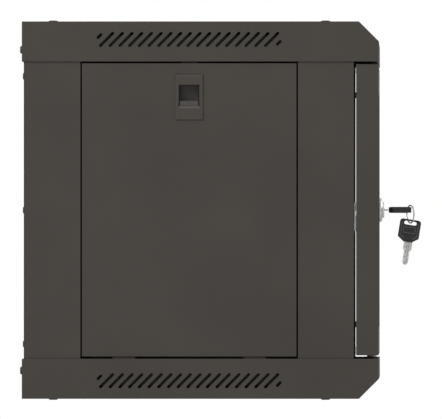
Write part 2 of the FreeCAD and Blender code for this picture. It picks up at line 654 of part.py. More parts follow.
def rack_rail():
    """The right-hand 19-inch rail, punched with square holes to the rack standard."""
    face = block((RACK_HALF, RACK_OUT), (RACK_FRONT, RACK_FRONT + RACK_SHEET),
                 (-RACK_END, RACK_END))
    leg = block((RACK_OUT - RACK_SHEET, RACK_OUT), (RACK_FRONT, RACK_FRONT + RACK_LEG),
                (-RACK_END, RACK_END))
    ends = [block((DEPTH_IN, RACK_OUT), (RACK_FRONT, RACK_FRONT + RACK_LEG),
                  (side * RACK_END, side * (RACK_END - RACK_SHEET))) for side in (-1, 1)]
    first = -RACK_UNITS * RACK_UNIT / 2.0
    middle = RACK_HALF + RACK_HOLE_INSET
    cuts = []
    for unit in range(RACK_UNITS):
        for height in RACK_HOLES:
            z = first + unit * RACK_UNIT + height
            cuts.append(block((middle - RACK_HOLE_HALF, middle + RACK_HOLE_HALF),
                              (RACK_FRONT - 1.0, RACK_FRONT + RACK_SHEET + 1.0),
                              (z - RACK_HOLE_HALF, z + RACK_HOLE_HALF)))
    cuts.append(small_rod(BOLT[0] + THREAD_FIT, 2 * HEIGHT,
                          (RACK_BOLT_X, RACK_BOLT_Y, -HEIGHT), (0, 0, 1)))
    return fuse([face, leg] + ends).cut(cuts)


def rack_rail_bolts():
    """Low-headed bolts, up and down through the ends of a 19-inch rail."""
    shank, head, height = BOLT
    length = RACK_SHEET + FACE_FIT + DEPTH_SHEET + NUT_LARGE[1] + BOLT_OVERHANG
    bolts = []
    for side in (-1, 1):
        seat = (RACK_BOLT_X, RACK_BOLT_Y, side * (RACK_END - RACK_SHEET))
        bolts.append(fuse([small_rod(head, height, seat, (0, 0, -side)),
                           small_rod(shank, length, seat, (0, 0, side))]))
    return group(bolts)


def rack_rail_nuts():
    seat = RAIL_Z + DEPTH_SHEET + FACE_FIT
    return group(nut(*NUT_LARGE, BOLT[0], (RACK_BOLT_X, RACK_BOLT_Y, side * seat),
                     (0, 0, side)) for side in (-1, 1))


# ---- door ---------------------------------------------------------------------------------
def clamp_places():
    """Middle of each glass edge that a clamp holds, with the way out from the glass."""
    for x in (-CLAMP_X, CLAMP_X):
        for side in (-1, 1):
            yield x, DOOR_MID + side * GLASS_HALF_HEIGHT, 0, side
    for z in (DOOR_MID - CLAMP_Z, DOOR_MID + CLAMP_Z):
        for side in (-1, 1):
            yield side * GLASS_HALF_WIDTH, z, side, 0


def stud_place(x, z, out_x, out_z):
    reach = SKIN_GAP + CLAMP_SHEET + CLAMP_FOOT / 2.0
    return x + out_x * reach, z + out_z * reach


def door_frame():
    """A folded pan with a window, a lip round its back and studs for the glass clamps."""
    wide, high = (-DOOR_HALF_WIDTH, DOOR_HALF_WIDTH), (DOOR_BOTTOM, DOOR_TOP)
    sheet = FRAME_SHEET
    skin = block(wide, (DOOR_FRONT, DOOR_BACK), high)
    hollow = block((wide[0] + sheet, wide[1] - sheet), (DOOR_INNER, DOOR_BACK - sheet),
                   (high[0] + sheet, high[1] - sheet))
    back = block((wide[0] + DOOR_LIP, wide[1] - DOOR_LIP), (DOOR_BACK - sheet - 1, DOOR_BACK + 1),
                 (high[0] + DOOR_LIP, high[1] - DOOR_LIP))
    window = rounded_plate(WINDOW_HALF_WIDTH, WINDOW_HALF_HEIGHT, WINDOW_CORNER,
                           DOOR_FRONT - 1, sheet + 2, DOOR_MID)
    pan = skin.cut([hollow, back, window])
    length = GLASS_BACK - DOOR_INNER
    studs = []
    for place in clamp_places():
        x, z = stud_place(*place)
        studs.append(small_rod(CLAMP_STUD, length, (x, DOOR_INNER - sheet / 2.0, z), (0, 1, 0)))
    holes = [rod(HINGE_PIN + RUN_FIT, 3.0, (HINGE_X, HINGE_Y, high[0] - 1.0), (0, 0, 1)),
             rod(HINGE_PIN + RUN_FIT, 3.0, (HINGE_X, HINGE_Y, high[1] + 1.0), (0, 0, -1)),
             rod(LOCK_BODY + THREAD_FIT, 4.0, (LOCK_X, DOOR_FRONT - 1, LOCK_Z), (0, 1, 0))]
    return fuse([pan] + studs).cut(holes)


def door_glass():
    return rounded_plate(GLASS_HALF_WIDTH, GLASS_HALF_HEIGHT, WINDOW_CORNER, GLASS_FRONT,
                         GLASS_THICK, DOOR_MID)


def glass_seal():
    """A flat rubber ring between the door's sheet and the glass."""
    outer = rounded_plate(GLASS_HALF_WIDTH, GLASS_HALF_HEIGHT, WINDOW_CORNER, DOOR_INNER,
                          SEAL_THICK, DOOR_MID)
    inner = rounded_plate(GLASS_HALF_WIDTH - SEAL_WIDTH, GLASS_HALF_HEIGHT - SEAL_WIDTH,
                          WINDOW_CORNER, DOOR_INNER - 1, SEAL_THICK + 2, DOOR_MID)
    return outer.cut(inner)


def glass_clamp():
    """One clamp at the top edge of the glass, drawn about that edge's middle."""
    half = CLAMP_WIDTH / 2.0
    riser = SKIN_GAP + CLAMP_SHEET
    foot = block((-half, half), (DOOR_INNER, DOOR_INNER + CLAMP_SHEET),
                 (SKIN_GAP, riser + CLAMP_FOOT))
    wall = block((-half, half), (DOOR_INNER, GLASS_BACK + CLAMP_SHEET), (SKIN_GAP, riser))
    lap = block((-half, half), (GLASS_BACK, GLASS_BACK + CLAMP_SHEET), (-CLAMP_LAP, riser))
    hole = small_rod(CLAMP_STUD + HOLE_FIT / 2.0, 3.0,
                     (0, DOOR_INNER - 1, riser + CLAMP_FOOT / 2.0), (0, 1, 0))
    return fuse([foot, wall, lap]).cut(hole)


def glass_clamps():
    clamps = []
    for x, z, out_x, out_z in clamp_places():
        clamp = glass_clamp()
        turn = math.degrees(math.atan2(out_x, out_z))
        clamp.rotate(Vector(0, 0, 0), Vector(0, 1, 0), turn)
        clamp.translate(Vector(x, 0, z))
        clamps.append(clamp)
    return group(clamps)


def clamp_nuts():
    nuts = []
    for place in clamp_places():
        x, z = stud_place(*place)
        nuts.append(nut(*CLAMP_NUT, CLAMP_STUD, (x, DOOR_INNER + CLAMP_SHEET, z), (0, 1, 0)))
    return group(nuts)


def door_buffers():
    radius, height, inset, drop = DOOR_BUFFER
    reach = FLANGE_EDGE - drop
    return group(rod(radius, height, (inset - DOOR_HALF_WIDTH, DOOR_BACK, DOOR_MID + side * reach),
                     (0, 1, 0)) for side in (-1, 1))


def frame_buffers():
    radius, height, inset, drop = FRAME_BUFFER
    reach = FLANGE_EDGE - drop
    return group(rod(radius, height, (inset - DOOR_HALF_WIDTH, FRAME_FRONT, side * reach),
                     (0, -1, 0)) for side in (-1, 1))


# ---- hinge --------------------------------------------------------------------------------
def pointed_pin(low, high):
    """A round pin on the hinge axis with a chamfered upper end."""
    stem = rod(HINGE_PIN, high - low, (HINGE_X, HINGE_Y, low), (0, 0, 1))
    tip = [edge for edge in stem.Edges if edge.BoundBox.ZMin > high - PIN_CHAMFER]
    return stem.makeChamfer(PIN_CHAMFER, tip)


def bottom_hinge_pin():
    """A shouldered pin riveted into the bottom tray's lip."""
    under = -FLANGE_EDGE - TRAY_SHEET
    length = TRAY_SHEET + DOOR_BOTTOM_GAP + FRAME_SHEET + PIN_POINT
    head = rod(PIN_HEAD, PIN_HEAD_THICK, (HINGE_X, HINGE_Y, under), (0, 0, -1))
    return fuse([pointed_pin(under, under + length), head])


def bottom_hinge_washer():
    height = DOOR_BOTTOM_GAP - FACE_FIT
    washer = rod(WASHER_RADIUS, height, (HINGE_X, HINGE_Y, -FLANGE_EDGE), (0, 0, 1))
    return washer.cut(rod(HINGE_PIN + RUN_FIT, height, (HINGE_X, HINGE_Y, -FLANGE_EDGE),
                          (0, 0, 1)))


def hinge_pin_bracket():
    """A channel inside the door that guides the sprung pin with two ears."""
    wide = (HINGE_X - BRACKET_HALF, HINGE_X + BRACKET_HALF)
    deep = (DOOR_INNER, HINGE_Y + BRACKET_HALF)
    base = block(wide, (DOOR_INNER, DOOR_INNER + EAR_SHEET), (EAR_LOW, EAR_HIGH + EAR_SHEET))
    ears = [block(wide, deep, (z, z + EAR_SHEET)) for z in (EAR_LOW, EAR_HIGH)]
    bore = rod(HINGE_PIN + RUN_FIT, EAR_HIGH, (HINGE_X, HINGE_Y, EAR_LOW - 1.0), (0, 0, 1))
    return fuse([base] + ears).cut(bore)


def top_hinge_pin():
    """A long pin with a collar for the spring and a bent tail to pull it down by."""
    stem = pointed_pin(PIN_FOOT - HINGE_PIN, PIN_TIP)
    grip = rod(HINGE_PIN, PIN_GRIP, (HINGE_X, HINGE_Y, PIN_FOOT), (-1, 0, 0))
    collar = rod(COLLAR[0], COLLAR[1], (HINGE_X, HINGE_Y, COLLAR_Z), (0, 0, 1))
    return fuse([stem, grip, collar])


def hinge_pin_spring():
    """A square-wire coil between the lower ear and the pin's collar, in short straight runs."""
    half = SPRING_WIRE / 2.0
    seat = EAR_LOW + EAR_SHEET + half + FACE_FIT
    rise = COLLAR_Z - half - FACE_FIT - seat
    steps = SPRING_TURNS * SPRING_SIDES
    turns = [(2.0 * math.pi * step / SPRING_SIDES, rise * step / steps)
             for step in range(steps + 1)]
    rings = [[Vector(HINGE_X + radius * math.cos(turn), HINGE_Y + radius * math.sin(turn),
                     seat + height + side) for radius, side in
              ((SPRING_RADIUS - half, -half), (SPRING_RADIUS + half, -half),
               (SPRING_RADIUS + half, half), (SPRING_RADIUS - half, half))]
             for turn, height in turns]
    loops = [Part.makePolygon(ring + ring[:1]) for ring in rings]
    return Part.makeLoft(loops, True, True)


# ---- lock ---------------------------------------------------------------------------------
def lock_rod(radius, start_y, end_y):
    return rod(radius, end_y - start_y, (LOCK_X, start_y, LOCK_Z), (0, 1, 0))


def lock_housing():
    """Rosette, boss and threaded barrel, turned about the lock's axis."""
    r_collar, h_collar = ROSETTE
    r_boss, h_boss = BOSS
    bore = PLUG + RUN_FIT
    outline = [(bore, LOCK_BACK), (LOCK_BODY, LOCK_BACK), (LOCK_BODY, DOOR_FRONT),
               (r_collar, DOOR_FRONT), (r_collar, DOOR_FRONT - h_collar + LOCK_EDGE),
               (r_collar - LOCK_EDGE, DOOR_FRONT - h_collar), (r_boss, DOOR_FRONT - h_collar),
               (r_boss, DOOR_FRONT - h_boss), (bore, DOOR_FRONT - h_boss)]
    points = [Vector(LOCK_X + r, y, LOCK_Z) for r, y in outline]
    face = Part.Face(Part.makePolygon(points + points[:1]))
    return face.revolve(Vector(LOCK_X, 0, LOCK_Z), Vector(0, 1, 0), 360)


def lock_nut():
    half_flats, height = LOCK_NUT
    blank = hexagon(half_flats, height, (LOCK_X, DOOR_INNER, LOCK_Z), (0, 1, 0))
    return blank.cut(lock_rod(LOCK_BODY + THREAD_FIT, DOOR_INNER - 1, LOCK_BACK))


def lock_plug():
    """The turning core: a keyway in its nose and a square tail for the cam."""
    core = lock_rod(PLUG, LOCK_NOSE + PLUG_SINK, LOCK_BACK)
    tail = block((LOCK_X - CAM_SQUARE, LOCK_X + CAM_SQUARE), (LOCK_BACK, LOCK_BACK + CAM_THICK),
                 (LOCK_Z - CAM_SQUARE, LOCK_Z + CAM_SQUARE))
    wide = SHOULDER_WIDTH / 2.0 + KEYWAY_FIT[0]
    high = BLADE_THICK / 2.0 + KEYWAY_FIT[1]
    deep = KEY_END + HEAD_LENGTH + BLADE_LENGTH + KEYWAY_SPARE
    keyway = block((LOCK_X - wide, LOCK_X + wide), (LOCK_NOSE, deep),
                   (LOCK_Z - high, LOCK_Z + high))
    hole = small_rod(CAM_HEAD[2], CAM_SCREW_GRIP + THREAD_FIT,
                     (LOCK_X, LOCK_BACK + CAM_THICK, LOCK_Z), (0, -1, 0))
    return fuse([core, tail]).cut([keyway, hole])


def lock_cam():
    """A flat finger with a square eye. It points down while the lock is open."""
    half = CAM_WIDTH / 2.0
    finger = block((LOCK_X - half, LOCK_X + half), (LOCK_BACK, LOCK_BACK + CAM_THICK),
                   (LOCK_Z, LOCK_Z - CAM_LENGTH + half))
    tip = rod(half, CAM_THICK, (LOCK_X, LOCK_BACK, LOCK_Z - CAM_LENGTH + half), (0, 1, 0))
    eye = rod(CAM_WIDTH * 0.75, CAM_THICK, (LOCK_X, LOCK_BACK, LOCK_Z), (0, 1, 0))
    square = CAM_SQUARE + THREAD_FIT
    hole = block((LOCK_X - square, LOCK_X + square), (LOCK_BACK - 1, LOCK_BACK + CAM_THICK + 1),
                 (LOCK_Z - square, LOCK_Z + square))
    return fuse([finger, tip, eye]).cut(hole)


def cam_screw():
    return screw(CAM_HEAD, (LOCK_X, LOCK_BACK + CAM_THICK, LOCK_Z), (0, -1, 0), CAM_SCREW_GRIP)


def lock_striker():
    """A hook on a foot, standing out from the left side frame's front flange."""
    top, bottom = LOCK_Z + STRIKER_TOP, LOCK_Z - STRIKER_BOTTOM
    roof, mouth_top, mouth = top + STRIKER_HEAD, LOCK_Z + STRIKER_MOUTH, LOCK_Z - STRIKER_MOUTH
    stem, shelf = FRAME_FRONT - STRIKER_STEM, FRAME_FRONT - STRIKER_SHELF
    neck, reach = FRAME_FRONT - STRIKER_NECK, FRAME_FRONT - STRIKER_REACH
    outline = [(FRAME_FRONT, top), (stem, top), (stem, roof), (reach, roof), (reach, mouth),
               (reach + HOOK_WIDTH, mouth), (reach + HOOK_WIDTH, mouth_top), (neck, mouth_top),
               (neck, mouth), (shelf, mouth), (shelf, bottom), (FRAME_FRONT, bottom)]
    plate = prism([(STRIKER_X - STRIKER_SHEET, y, z) for y, z in outline],
                  (STRIKER_SHEET, 0, 0))
    foot = block((STRIKER_X - STRIKER_SHEET, STRIKER_X + STRIKER_FOOT), (FRAME_FRONT, neck),
                 (bottom, top))
    holes = [small_rod(RIVET[0], 4.0, (STRIKER_X + STRIKER_FOOT / 2.0, FRAME_FRONT - 2.0, z),
                       (0, 1, 0)) for z in striker_rivet_heights()]
    return fuse([plate, foot]).cut(holes)


def striker_rivet_heights():
    return LOCK_Z - STRIKER_BOTTOM + RIVET_INSET, LOCK_Z + STRIKER_TOP - RIVET_INSET


def striker_rivets():
    """Flat rivets through the striker's foot, set behind the frame's flange."""
    x = STRIKER_X + STRIKER_FOOT / 2.0
    front, back = FRAME_FRONT - STRIKER_NECK, FRAME_FRONT + FRAME_SHEET
    shank, head, height = RIVET
    rivets = []
    for z in striker_rivet_heights():
        stem = small_rod(shank - THREAD_FIT, back - front, (x, front, z), (0, 1, 0))
        rivets.append(fuse([small_rod(head, height, (x, front, z), (0, -1, 0)), stem,
                            small_rod(head, height, (x, back, z), (0, 1, 0))]))
    return group(rivets)


# ---- keys and ring ------------------------------------------------------------------------
def key_head():
    """A moulded head lying flat. Its outer end is at the origin and its blade points to +Y."""
    half, tip = HEAD_WIDTH / 2.0, SHOULDER_WIDTH / 2.0
    outline = [(-half, 0), (half, 0), (half, HEAD_SIDE), (tip, HEAD_LENGTH),
               (-tip, HEAD_LENGTH), (-half, HEAD_SIDE)]
    thick = HEAD_THICK / 2.0
    body = prism([(x, y, -thick) for x, y in outline], (0, 0, HEAD_THICK))
    corners = [edge for edge in body.Edges
               if edge.BoundBox.YMax < 0.01 and edge.BoundBox.ZLength > 1.0]
    body = body.makeFillet(HEAD_CORNER, corners)
    width, height = HEAD_SLOT
    middle = HEAD_WEB + height / 2.0
    reach = (width - height) / 2.0
    slot = stadium((-reach, middle, -thick - 1), (reach, middle, -thick - 1), height / 2.0,
                   (0, 0, HEAD_THICK + 2), KNOCKOUT_SIDES // 2)
    long_x, long_y, deep = HEAD_PANEL
    start = HEAD_WEB + height + PANEL_STEP
    recess = [block((-long_x / 2.0, long_x / 2.0), (start, start + long_y),
                    (side * thick, side * (thick - deep))) for side in (-1, 1)]
    pocket = key_blade(RUN_FIT)
    return body.cut([slot, pocket] + recess)


def key_blade(ease=0.0):
    """The flat blade, whose root is moulded into the head. ease makes it a little larger."""
    wide, narrow = SHOULDER_WIDTH / 2.0 + ease, BLADE_WIDTH / 2.0 + ease
    root = HEAD_LENGTH - BLADE_ROOT - ease
    step = HEAD_LENGTH + SHOULDER_LENGTH
    end = HEAD_LENGTH + BLADE_LENGTH
    thick = BLADE_THICK / 2.0 + ease
    edge = [(wide, root), (wide, step), (narrow, step + BLADE_STEP),
            (narrow, end - BLADE_POINT), (narrow - BLADE_TAPER, end)]
    outline = edge + [(-x, y) for x, y in reversed(edge)]
    return prism([(x, y, -thick) for x, y in outline], (0, 0, 2 * thick))


def place_in_lock(shape):
    shape.translate(Vector(LOCK_X, KEY_END, LOCK_Z))
    return shape


def place_spare(shape):
    """Hang the spare key on the ring's lowest point, its flat side to the left."""
    middle = HEAD_WEB + HEAD_SLOT[1] / 2.0
    shape.translate(Vector(0, -HEAD_WEB, 0))
    shape.rotate(Vector(0, 0, 0), Vector(0, 1, 0), 90)
    shape.rotate(Vector(0, 0, 0), Vector(1, 0, 0), -90 + SPARE_TILT)
    turn = math.radians(RING_TURN)
    half = HEAD_THICK / 2.0 / math.sin(turn)
    rise = RING_IN - math.sqrt(RING_IN ** 2 - half ** 2)
    sink = RING_Z - RING_IN + rise + SPARE_GAP
    lean = (middle - HEAD_WEB) * math.sin(math.radians(SPARE_TILT))
    shape.translate(Vector(RING_X, RING_Y - lean, sink))
    return shape


def key_ring():
    """A split ring, as the flat band that its two turns make side by side."""
    turn = math.radians(RING_TURN)
    axis = Vector(math.cos(turn), -math.sin(turn), 0)
    start = Vector(RING_X, RING_Y, RING_Z) - axis * (RING_THICK / 2.0)
    band = Part.makeCylinder(RING_OUT, RING_THICK, start, axis)
    return band.cut(Part.makeCylinder(RING_IN, RING_THICK, start, axis))


# ---- side panels and their latches --------------------------------------------------------
def side_panel():
    """The right-hand panel: a shallow pan with two hooks below and a latch near its top."""
    wide, high = (PANEL_FRONT, PANEL_REAR), (PANEL_BOTTOM, PANEL_TOP)
    sheet = PANEL_SHEET
    inner_x = SKIN - PANEL_RETURN
    skin = block((inner_x, SKIN), wide, high)
    hollow = block((inner_x - 1, SKIN - sheet), (wide[0] + sheet, wide[1] - sheet),
                   (high[0] + sheet, high[1] - sheet))
    hook_out = SKIN_IN - SKIN_GAP
    hooks = []
    for start in (wide[0] + HOOK_INSET, wide[1] - HOOK_INSET - HOOK_LENGTH):
        hooks.append(block((hook_out - sheet, hook_out), (start, start + HOOK_LENGTH),
                           (high[0] + sheet, high[0] - HOOK_REACH)))
    inset = LATCH_BODY_INSET - SKIN_GAP
    window = block((SKIN - 2, SKIN + 1), (MIDDLE_Y - LATCH_HALF + inset, MIDDLE_Y + LATCH_HALF - inset),
                   (LATCH_BOTTOM + inset, LATCH_TOP - inset))
    tongue = SKIN_IN - SLIDE_FIT
    notch = block((tongue - TONGUE_THICK - SLIDE_FIT, tongue + SLIDE_FIT),
                  (MIDDLE_Y - TONGUE_HALF - SLIDE_FIT, MIDDLE_Y + TONGUE_HALF + SLIDE_FIT),
                  (high[1] - 2, high[1] + 1))
    return fuse([skin.cut(hollow)] + hooks).cut([window, notch])


def latch_housing():
    """A bevelled bezel on a box that guides the slider. Its window is the finger pocket."""
    bezel = block((SKIN, SKIN + LATCH_PROUD), (MIDDLE_Y - LATCH_HALF, MIDDLE_Y + LATCH_HALF),
                  (LATCH_BOTTOM, LATCH_TOP))
    rim = [edge for edge in bezel.Edges if edge.BoundBox.XMin > SKIN + LATCH_PROUD - 0.01]
    bezel = bezel.makeChamfer(LATCH_BEVEL, rim)
    inset = LATCH_BODY_INSET
    back = SKIN - LATCH_DEPTH
    half = LATCH_HALF - inset
    box = block((back, SKIN), (MIDDLE_Y - half, MIDDLE_Y + half),
                (LATCH_BOTTOM + inset, LATCH_TOP - inset))
    room = half - LATCH_WALL
    cavity = block((back + LATCH_RAIL, SKIN - PANEL_SHEET), (MIDDLE_Y - room, MIDDLE_Y + room),
                   (LATCH_BOTTOM + inset + LATCH_WALL, LATCH_TOP))
    open_back = room - LATCH_RAIL
    rear = block((back - 1, back + 2), (MIDDLE_Y - open_back, MIDDLE_Y + open_back),
                 (LATCH_BOTTOM + inset + LATCH_WALL, LATCH_TOP))
    low = POCKET_BOTTOM
    pocket = prism([(SKIN - 2.0, MIDDLE_Y - POCKET_HALF, low),
                    (SKIN - 2.0, MIDDLE_Y - POCKET_HALF, POCKET_TOP),
                    (SKIN + LATCH_PROUD + 1, MIDDLE_Y - POCKET_HALF, POCKET_TOP),
                    (SKIN + LATCH_PROUD + 1, MIDDLE_Y - POCKET_HALF, low - POCKET_SLOPE),
                    (SKIN + LATCH_PROUD, MIDDLE_Y - POCKET_HALF, low - POCKET_SLOPE)],
                   (0, 2 * POCKET_HALF, 0))
    return fuse([bezel, box]).cut([cavity, rear, pocket])


def latch_slider():
    """A cup with a finger grip and a long tongue that slips behind the side frame."""
    half = LATCH_HALF - LATCH_BODY_INSET - LATCH_WALL - SLIDE_FIT
    floor = SKIN - LATCH_DEPTH + LATCH_RAIL + SLIDE_FIT
    tongue_out = SKIN_IN - SLIDE_FIT
    shelf = POCKET_TOP + 1.0
    base = LATCH_BOTTOM + LATCH_BODY_INSET + LATCH_WALL + SLIDE_FIT
    plate = block((floor, floor + SLIDER_FLOOR), (MIDDLE_Y - half, MIDDLE_Y + half),
                  (base, shelf + SLIDER_FLOOR))
    grip = block((floor, SKIN + LATCH_PROUD - GRIP_SINK), (MIDDLE_Y - half, MIDDLE_Y + half),
                 (POCKET_BOTTOM + FACE_FIT, POCKET_BOTTOM + GRIP))
    ledge = block((floor, tongue_out), (MIDDLE_Y - half, MIDDLE_Y + half),
                  (shelf, shelf + SLIDER_FLOOR))
    tongue = block((tongue_out - TONGUE_THICK, tongue_out),
                   (MIDDLE_Y - TONGUE_HALF, MIDDLE_Y + TONGUE_HALF), (shelf, TONGUE_TOP))
    lead = [edge for edge in tongue.Edges if edge.BoundBox.ZMin > TONGUE_TOP - 0.01
            and edge.BoundBox.XMin > tongue_out - 0.01]
    tongue = tongue.makeChamfer(TONGUE_THICK / 2.0, lead)
    return fuse([plate, grip, ledge, tongue])


# ---- every piece, by name -----------------------------------------------------------------
def build():
    top = tray()
    pieces = {
        "top_panel": top,
        "bottom_panel": half_turn(top),
        "top_panel_screws": case_screws(),
        "bottom_panel_screws": half_turn(case_screws()),
        "rear_flange_screws": rear_flange_screws(),
        "rear_panel": rear_panel(),
        "rear_panel_screws": rear_panel_screws(),
        "front_rail_top": front_rail(),
        "front_rail_bottom": half_turn(front_rail()),
        "front_rail_screws": front_rail_screws(),
        "depth_rail_nuts": depth_rail_nuts(),
        "lock_striker": lock_striker(),
        "striker_rivets": striker_rivets(),
        "frame_buffers": frame_buffers(),
        "bottom_hinge_pin": bottom_hinge_pin(),
        "bottom_hinge_washer": bottom_hinge_washer(),
        "door_frame": door_frame(),
        "door_glass": door_glass(),
        "glass_seal": glass_seal(),
        "glass_clamps": glass_clamps(),
        "clamp_nuts": clamp_nuts(),
        "door_buffers": door_buffers(),
        "hinge_pin_bracket": hinge_pin_bracket(),
        "top_hinge_pin": top_hinge_pin(),
        "hinge_pin_spring": hinge_pin_spring(),
        "lock_housing": lock_housing(),
        "lock_nut": lock_nut(),
        "lock_plug": lock_plug(),
        "lock_cam": lock_cam(),
        "cam_screw": cam_screw(),
        "key_blade": place_in_lock(key_blade()),
        "key_head": place_in_lock(key_head()),
        "key_ring": key_ring(),
        "spare_key_blade": place_spare(key_blade()),
        "spare_key_head": place_spare(key_head()),
    }
    handed = {
        "side_frame": side_frame,
        "side_panel": side_panel,
        "latch_housing": latch_housing,
        "latch_slider": latch_slider,
        "rack_rail": rack_rail,
        "rack_rail_bolts": rack_rail_bolts,
        "rack_rail_nuts": rack_rail_nuts,
    }
    for name, make in handed.items():
        right = make()
        pieces[name + "_right"] = right
        pieces[name + "_left"] = mirror_x(right)
    pieces["side_frame_left"] = left_side_frame()
    upper = depth_rail()
    for side, shape in (("right", upper), ("left", mirror_x(upper))):
        pieces["depth_rail_%s_top" % side] = shape
        pieces["depth_rail_%s_bottom" % side] = mirror_z(shape)
    return pieces


for name, shape in build().items():
    shape.exportStep("parts/%s.step" % name)
    print("%-26s solids %2d  faces %4d  volume %10.1f mm3"
          % (name, len(shape.Solids), len(shape.Faces), shape.Volume))
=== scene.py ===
# %% [markdown]
# # Dressing a wall mount network cabinet
#
# The cabinet is a small steel box for six units of 19-inch equipment: two folded trays with
# slanted vents, two side frames, lift-off side panels with a finger latch, and a glass door
# on hidden hinge pins with a key lock. Its solids come packed as a fixed frame, already in
# their real places. This lesson gives them their finishes, swaps the small round pieces for
# finer ones, and lights the whole thing evenly.

# %% Load the solids
import json
import math
import random

import bmesh
import bpy
from mathutils import Matrix, Vector


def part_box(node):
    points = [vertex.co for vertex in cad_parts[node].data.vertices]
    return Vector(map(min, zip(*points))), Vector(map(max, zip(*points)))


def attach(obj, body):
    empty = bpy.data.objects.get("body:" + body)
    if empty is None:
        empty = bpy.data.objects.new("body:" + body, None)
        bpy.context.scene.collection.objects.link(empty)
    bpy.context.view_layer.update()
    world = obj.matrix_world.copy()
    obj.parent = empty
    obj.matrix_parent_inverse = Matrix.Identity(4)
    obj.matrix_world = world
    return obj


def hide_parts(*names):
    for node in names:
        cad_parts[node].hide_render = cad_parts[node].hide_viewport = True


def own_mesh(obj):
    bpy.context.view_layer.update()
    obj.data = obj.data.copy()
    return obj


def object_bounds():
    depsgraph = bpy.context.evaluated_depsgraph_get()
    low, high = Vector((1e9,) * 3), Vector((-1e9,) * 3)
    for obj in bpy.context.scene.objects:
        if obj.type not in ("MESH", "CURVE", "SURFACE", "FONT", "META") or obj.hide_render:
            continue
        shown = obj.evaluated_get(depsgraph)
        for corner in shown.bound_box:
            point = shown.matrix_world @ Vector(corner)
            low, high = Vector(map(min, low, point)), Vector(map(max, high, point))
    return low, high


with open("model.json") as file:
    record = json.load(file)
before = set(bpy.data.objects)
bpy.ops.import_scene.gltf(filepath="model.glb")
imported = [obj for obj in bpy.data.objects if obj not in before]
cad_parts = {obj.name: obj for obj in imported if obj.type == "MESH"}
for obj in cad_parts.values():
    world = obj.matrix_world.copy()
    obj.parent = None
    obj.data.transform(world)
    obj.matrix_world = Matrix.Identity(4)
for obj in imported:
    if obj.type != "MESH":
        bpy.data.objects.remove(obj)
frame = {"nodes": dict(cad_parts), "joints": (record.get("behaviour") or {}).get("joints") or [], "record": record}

MM = 0.001
nodes = frame["nodes"]
joints = {joint["name"]: joint for joint in frame["joints"]}
cad_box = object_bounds()
cad_size = [round(side / MM, 1) for side in cad_box[1] - cad_box[0]]
print("solids loaded:", len(nodes), "in a box of", cad_size, "mm")

# %% [markdown]
# ## Writing shader maths as sums
#
# A finish is mostly arithmetic on a few noise patterns. Adding every Math node by hand hides
# what is being worked out, so one small class stands for a socket: a sum written with it adds
# the nodes. Vectors need Vector Math and colours need Mix, because a Math node would turn
# them grey. Every other kind of node comes from the one method called node.

# %% A socket that can be added and multiplied
class Wire:
    """One output socket of a material's nodes."""

    def __init__(self, tree, socket=None):
        self.tree = tree
        self.socket = socket

    def node(self, kind, sockets=(), output=0, **settings):
        """Add a node. settings come first, then the values or links of its sockets."""
        made = self.tree.nodes.new("ShaderNode" + kind)
        for name, value in settings.items():
            setattr(made, name, value)
        for name, value in dict(sockets).items():
            if isinstance(value, Wire):
                self.tree.links.new(value.socket, made.inputs[name])
            else:
                made.inputs[name].default_value = value
        return Wire(self.tree, made.outputs[output]) if made.outputs else None

    def maths(self, operation, first, second):
        """A Math node, or a Vector Math node where one of the two is a vector."""
        kinds = [side.socket.type for side in (first, second) if isinstance(side, Wire)]
        if "VECTOR" not in kinds:
            return self.node("Math", {0: first, 1: second}, operation=operation)
        pair = [side if isinstance(side, (Wire, tuple)) else (side, side, side)
                for side in (first, second)]
        return self.node("VectorMath", dict(enumerate(pair)), operation=operation)

    def __add__(self, other):
        return self.maths("ADD", self, other)

    def __sub__(self, other):
        return self.maths("SUBTRACT", self, other)

    def __rsub__(self, other):
        return self.maths("SUBTRACT", other, self)

    def __mul__(self, other):
        return self.maths("MULTIPLY", self, other)

    def __gt__(self, other):
        return self.maths("GREATER_THAN", self, other)

    __radd__ = __add__
    __rmul__ = __mul__

    def mix(self, first, second):
        """This value, from 0 to 1, goes from one colour to another."""
        return self.node("Mix", {0: self, 6: first, 7: second}, output=2, data_type="RGBA")

    def step(self, low, high):
        """0 below low, 1 above high and a smooth rise between."""
        return self.node("MapRange", {"Value": self, "From Min": low, "From Max": high},
                         interpolation_type="SMOOTHSTEP")


print("a sum of sockets now adds its nodes")

# %% [markdown]
# ## Opening and closing a material
#
# Every finish starts from the place on the piece, and nearly all end in one Principled
# shader. Object coordinates need no unwrapping and give patterns their real size. They are
# turned into millimetres here, so that a grain can be given as it is measured.

# %% Helpers that all finishes share
def begin(name):
    """A new material, with the place on the piece in millimetres to build its patterns on."""
    material = bpy.data.materials.new(name)
    material.use_nodes = True
    material.node_tree.nodes.clear()
    spot = Wire(material.node_tree).node("TexCoord", output="Object") * (1.0 / MM)
    return material, spot


def noise(spot, scale, detail=2.0, stretch=(1.0, 1.0, 1.0)):
    """Soft noise whose blotches are about 1 / scale millimetres wide."""
    return spot.node("TexNoise", {"Vector": spot * stretch, "Scale": scale, "Detail": detail})


def bump(height, depth, strength=1.0):
    """Turn a pattern from 0 to 1 into a relief, depth millimetres high."""
    return height.node("Bump", {"Height": height, "Distance": depth * MM,
                                "Strength": strength}, output="Normal")


def close(spot, **sockets):
    """End a material in one Principled shader."""
    named = {name.replace("_", " "): value for name, value in sockets.items()}
    shader = spot.node("BsdfPrincipled", named)
    spot.node("OutputMaterial", {"Surface": shader})


def grey(level, warm=0.0):
    """A colour near grey. warm lifts the red and lowers the blue by that share."""
    return (level * (1 + warm), level, level * (1 - warm), 1.0)


print("shader helpers ready")

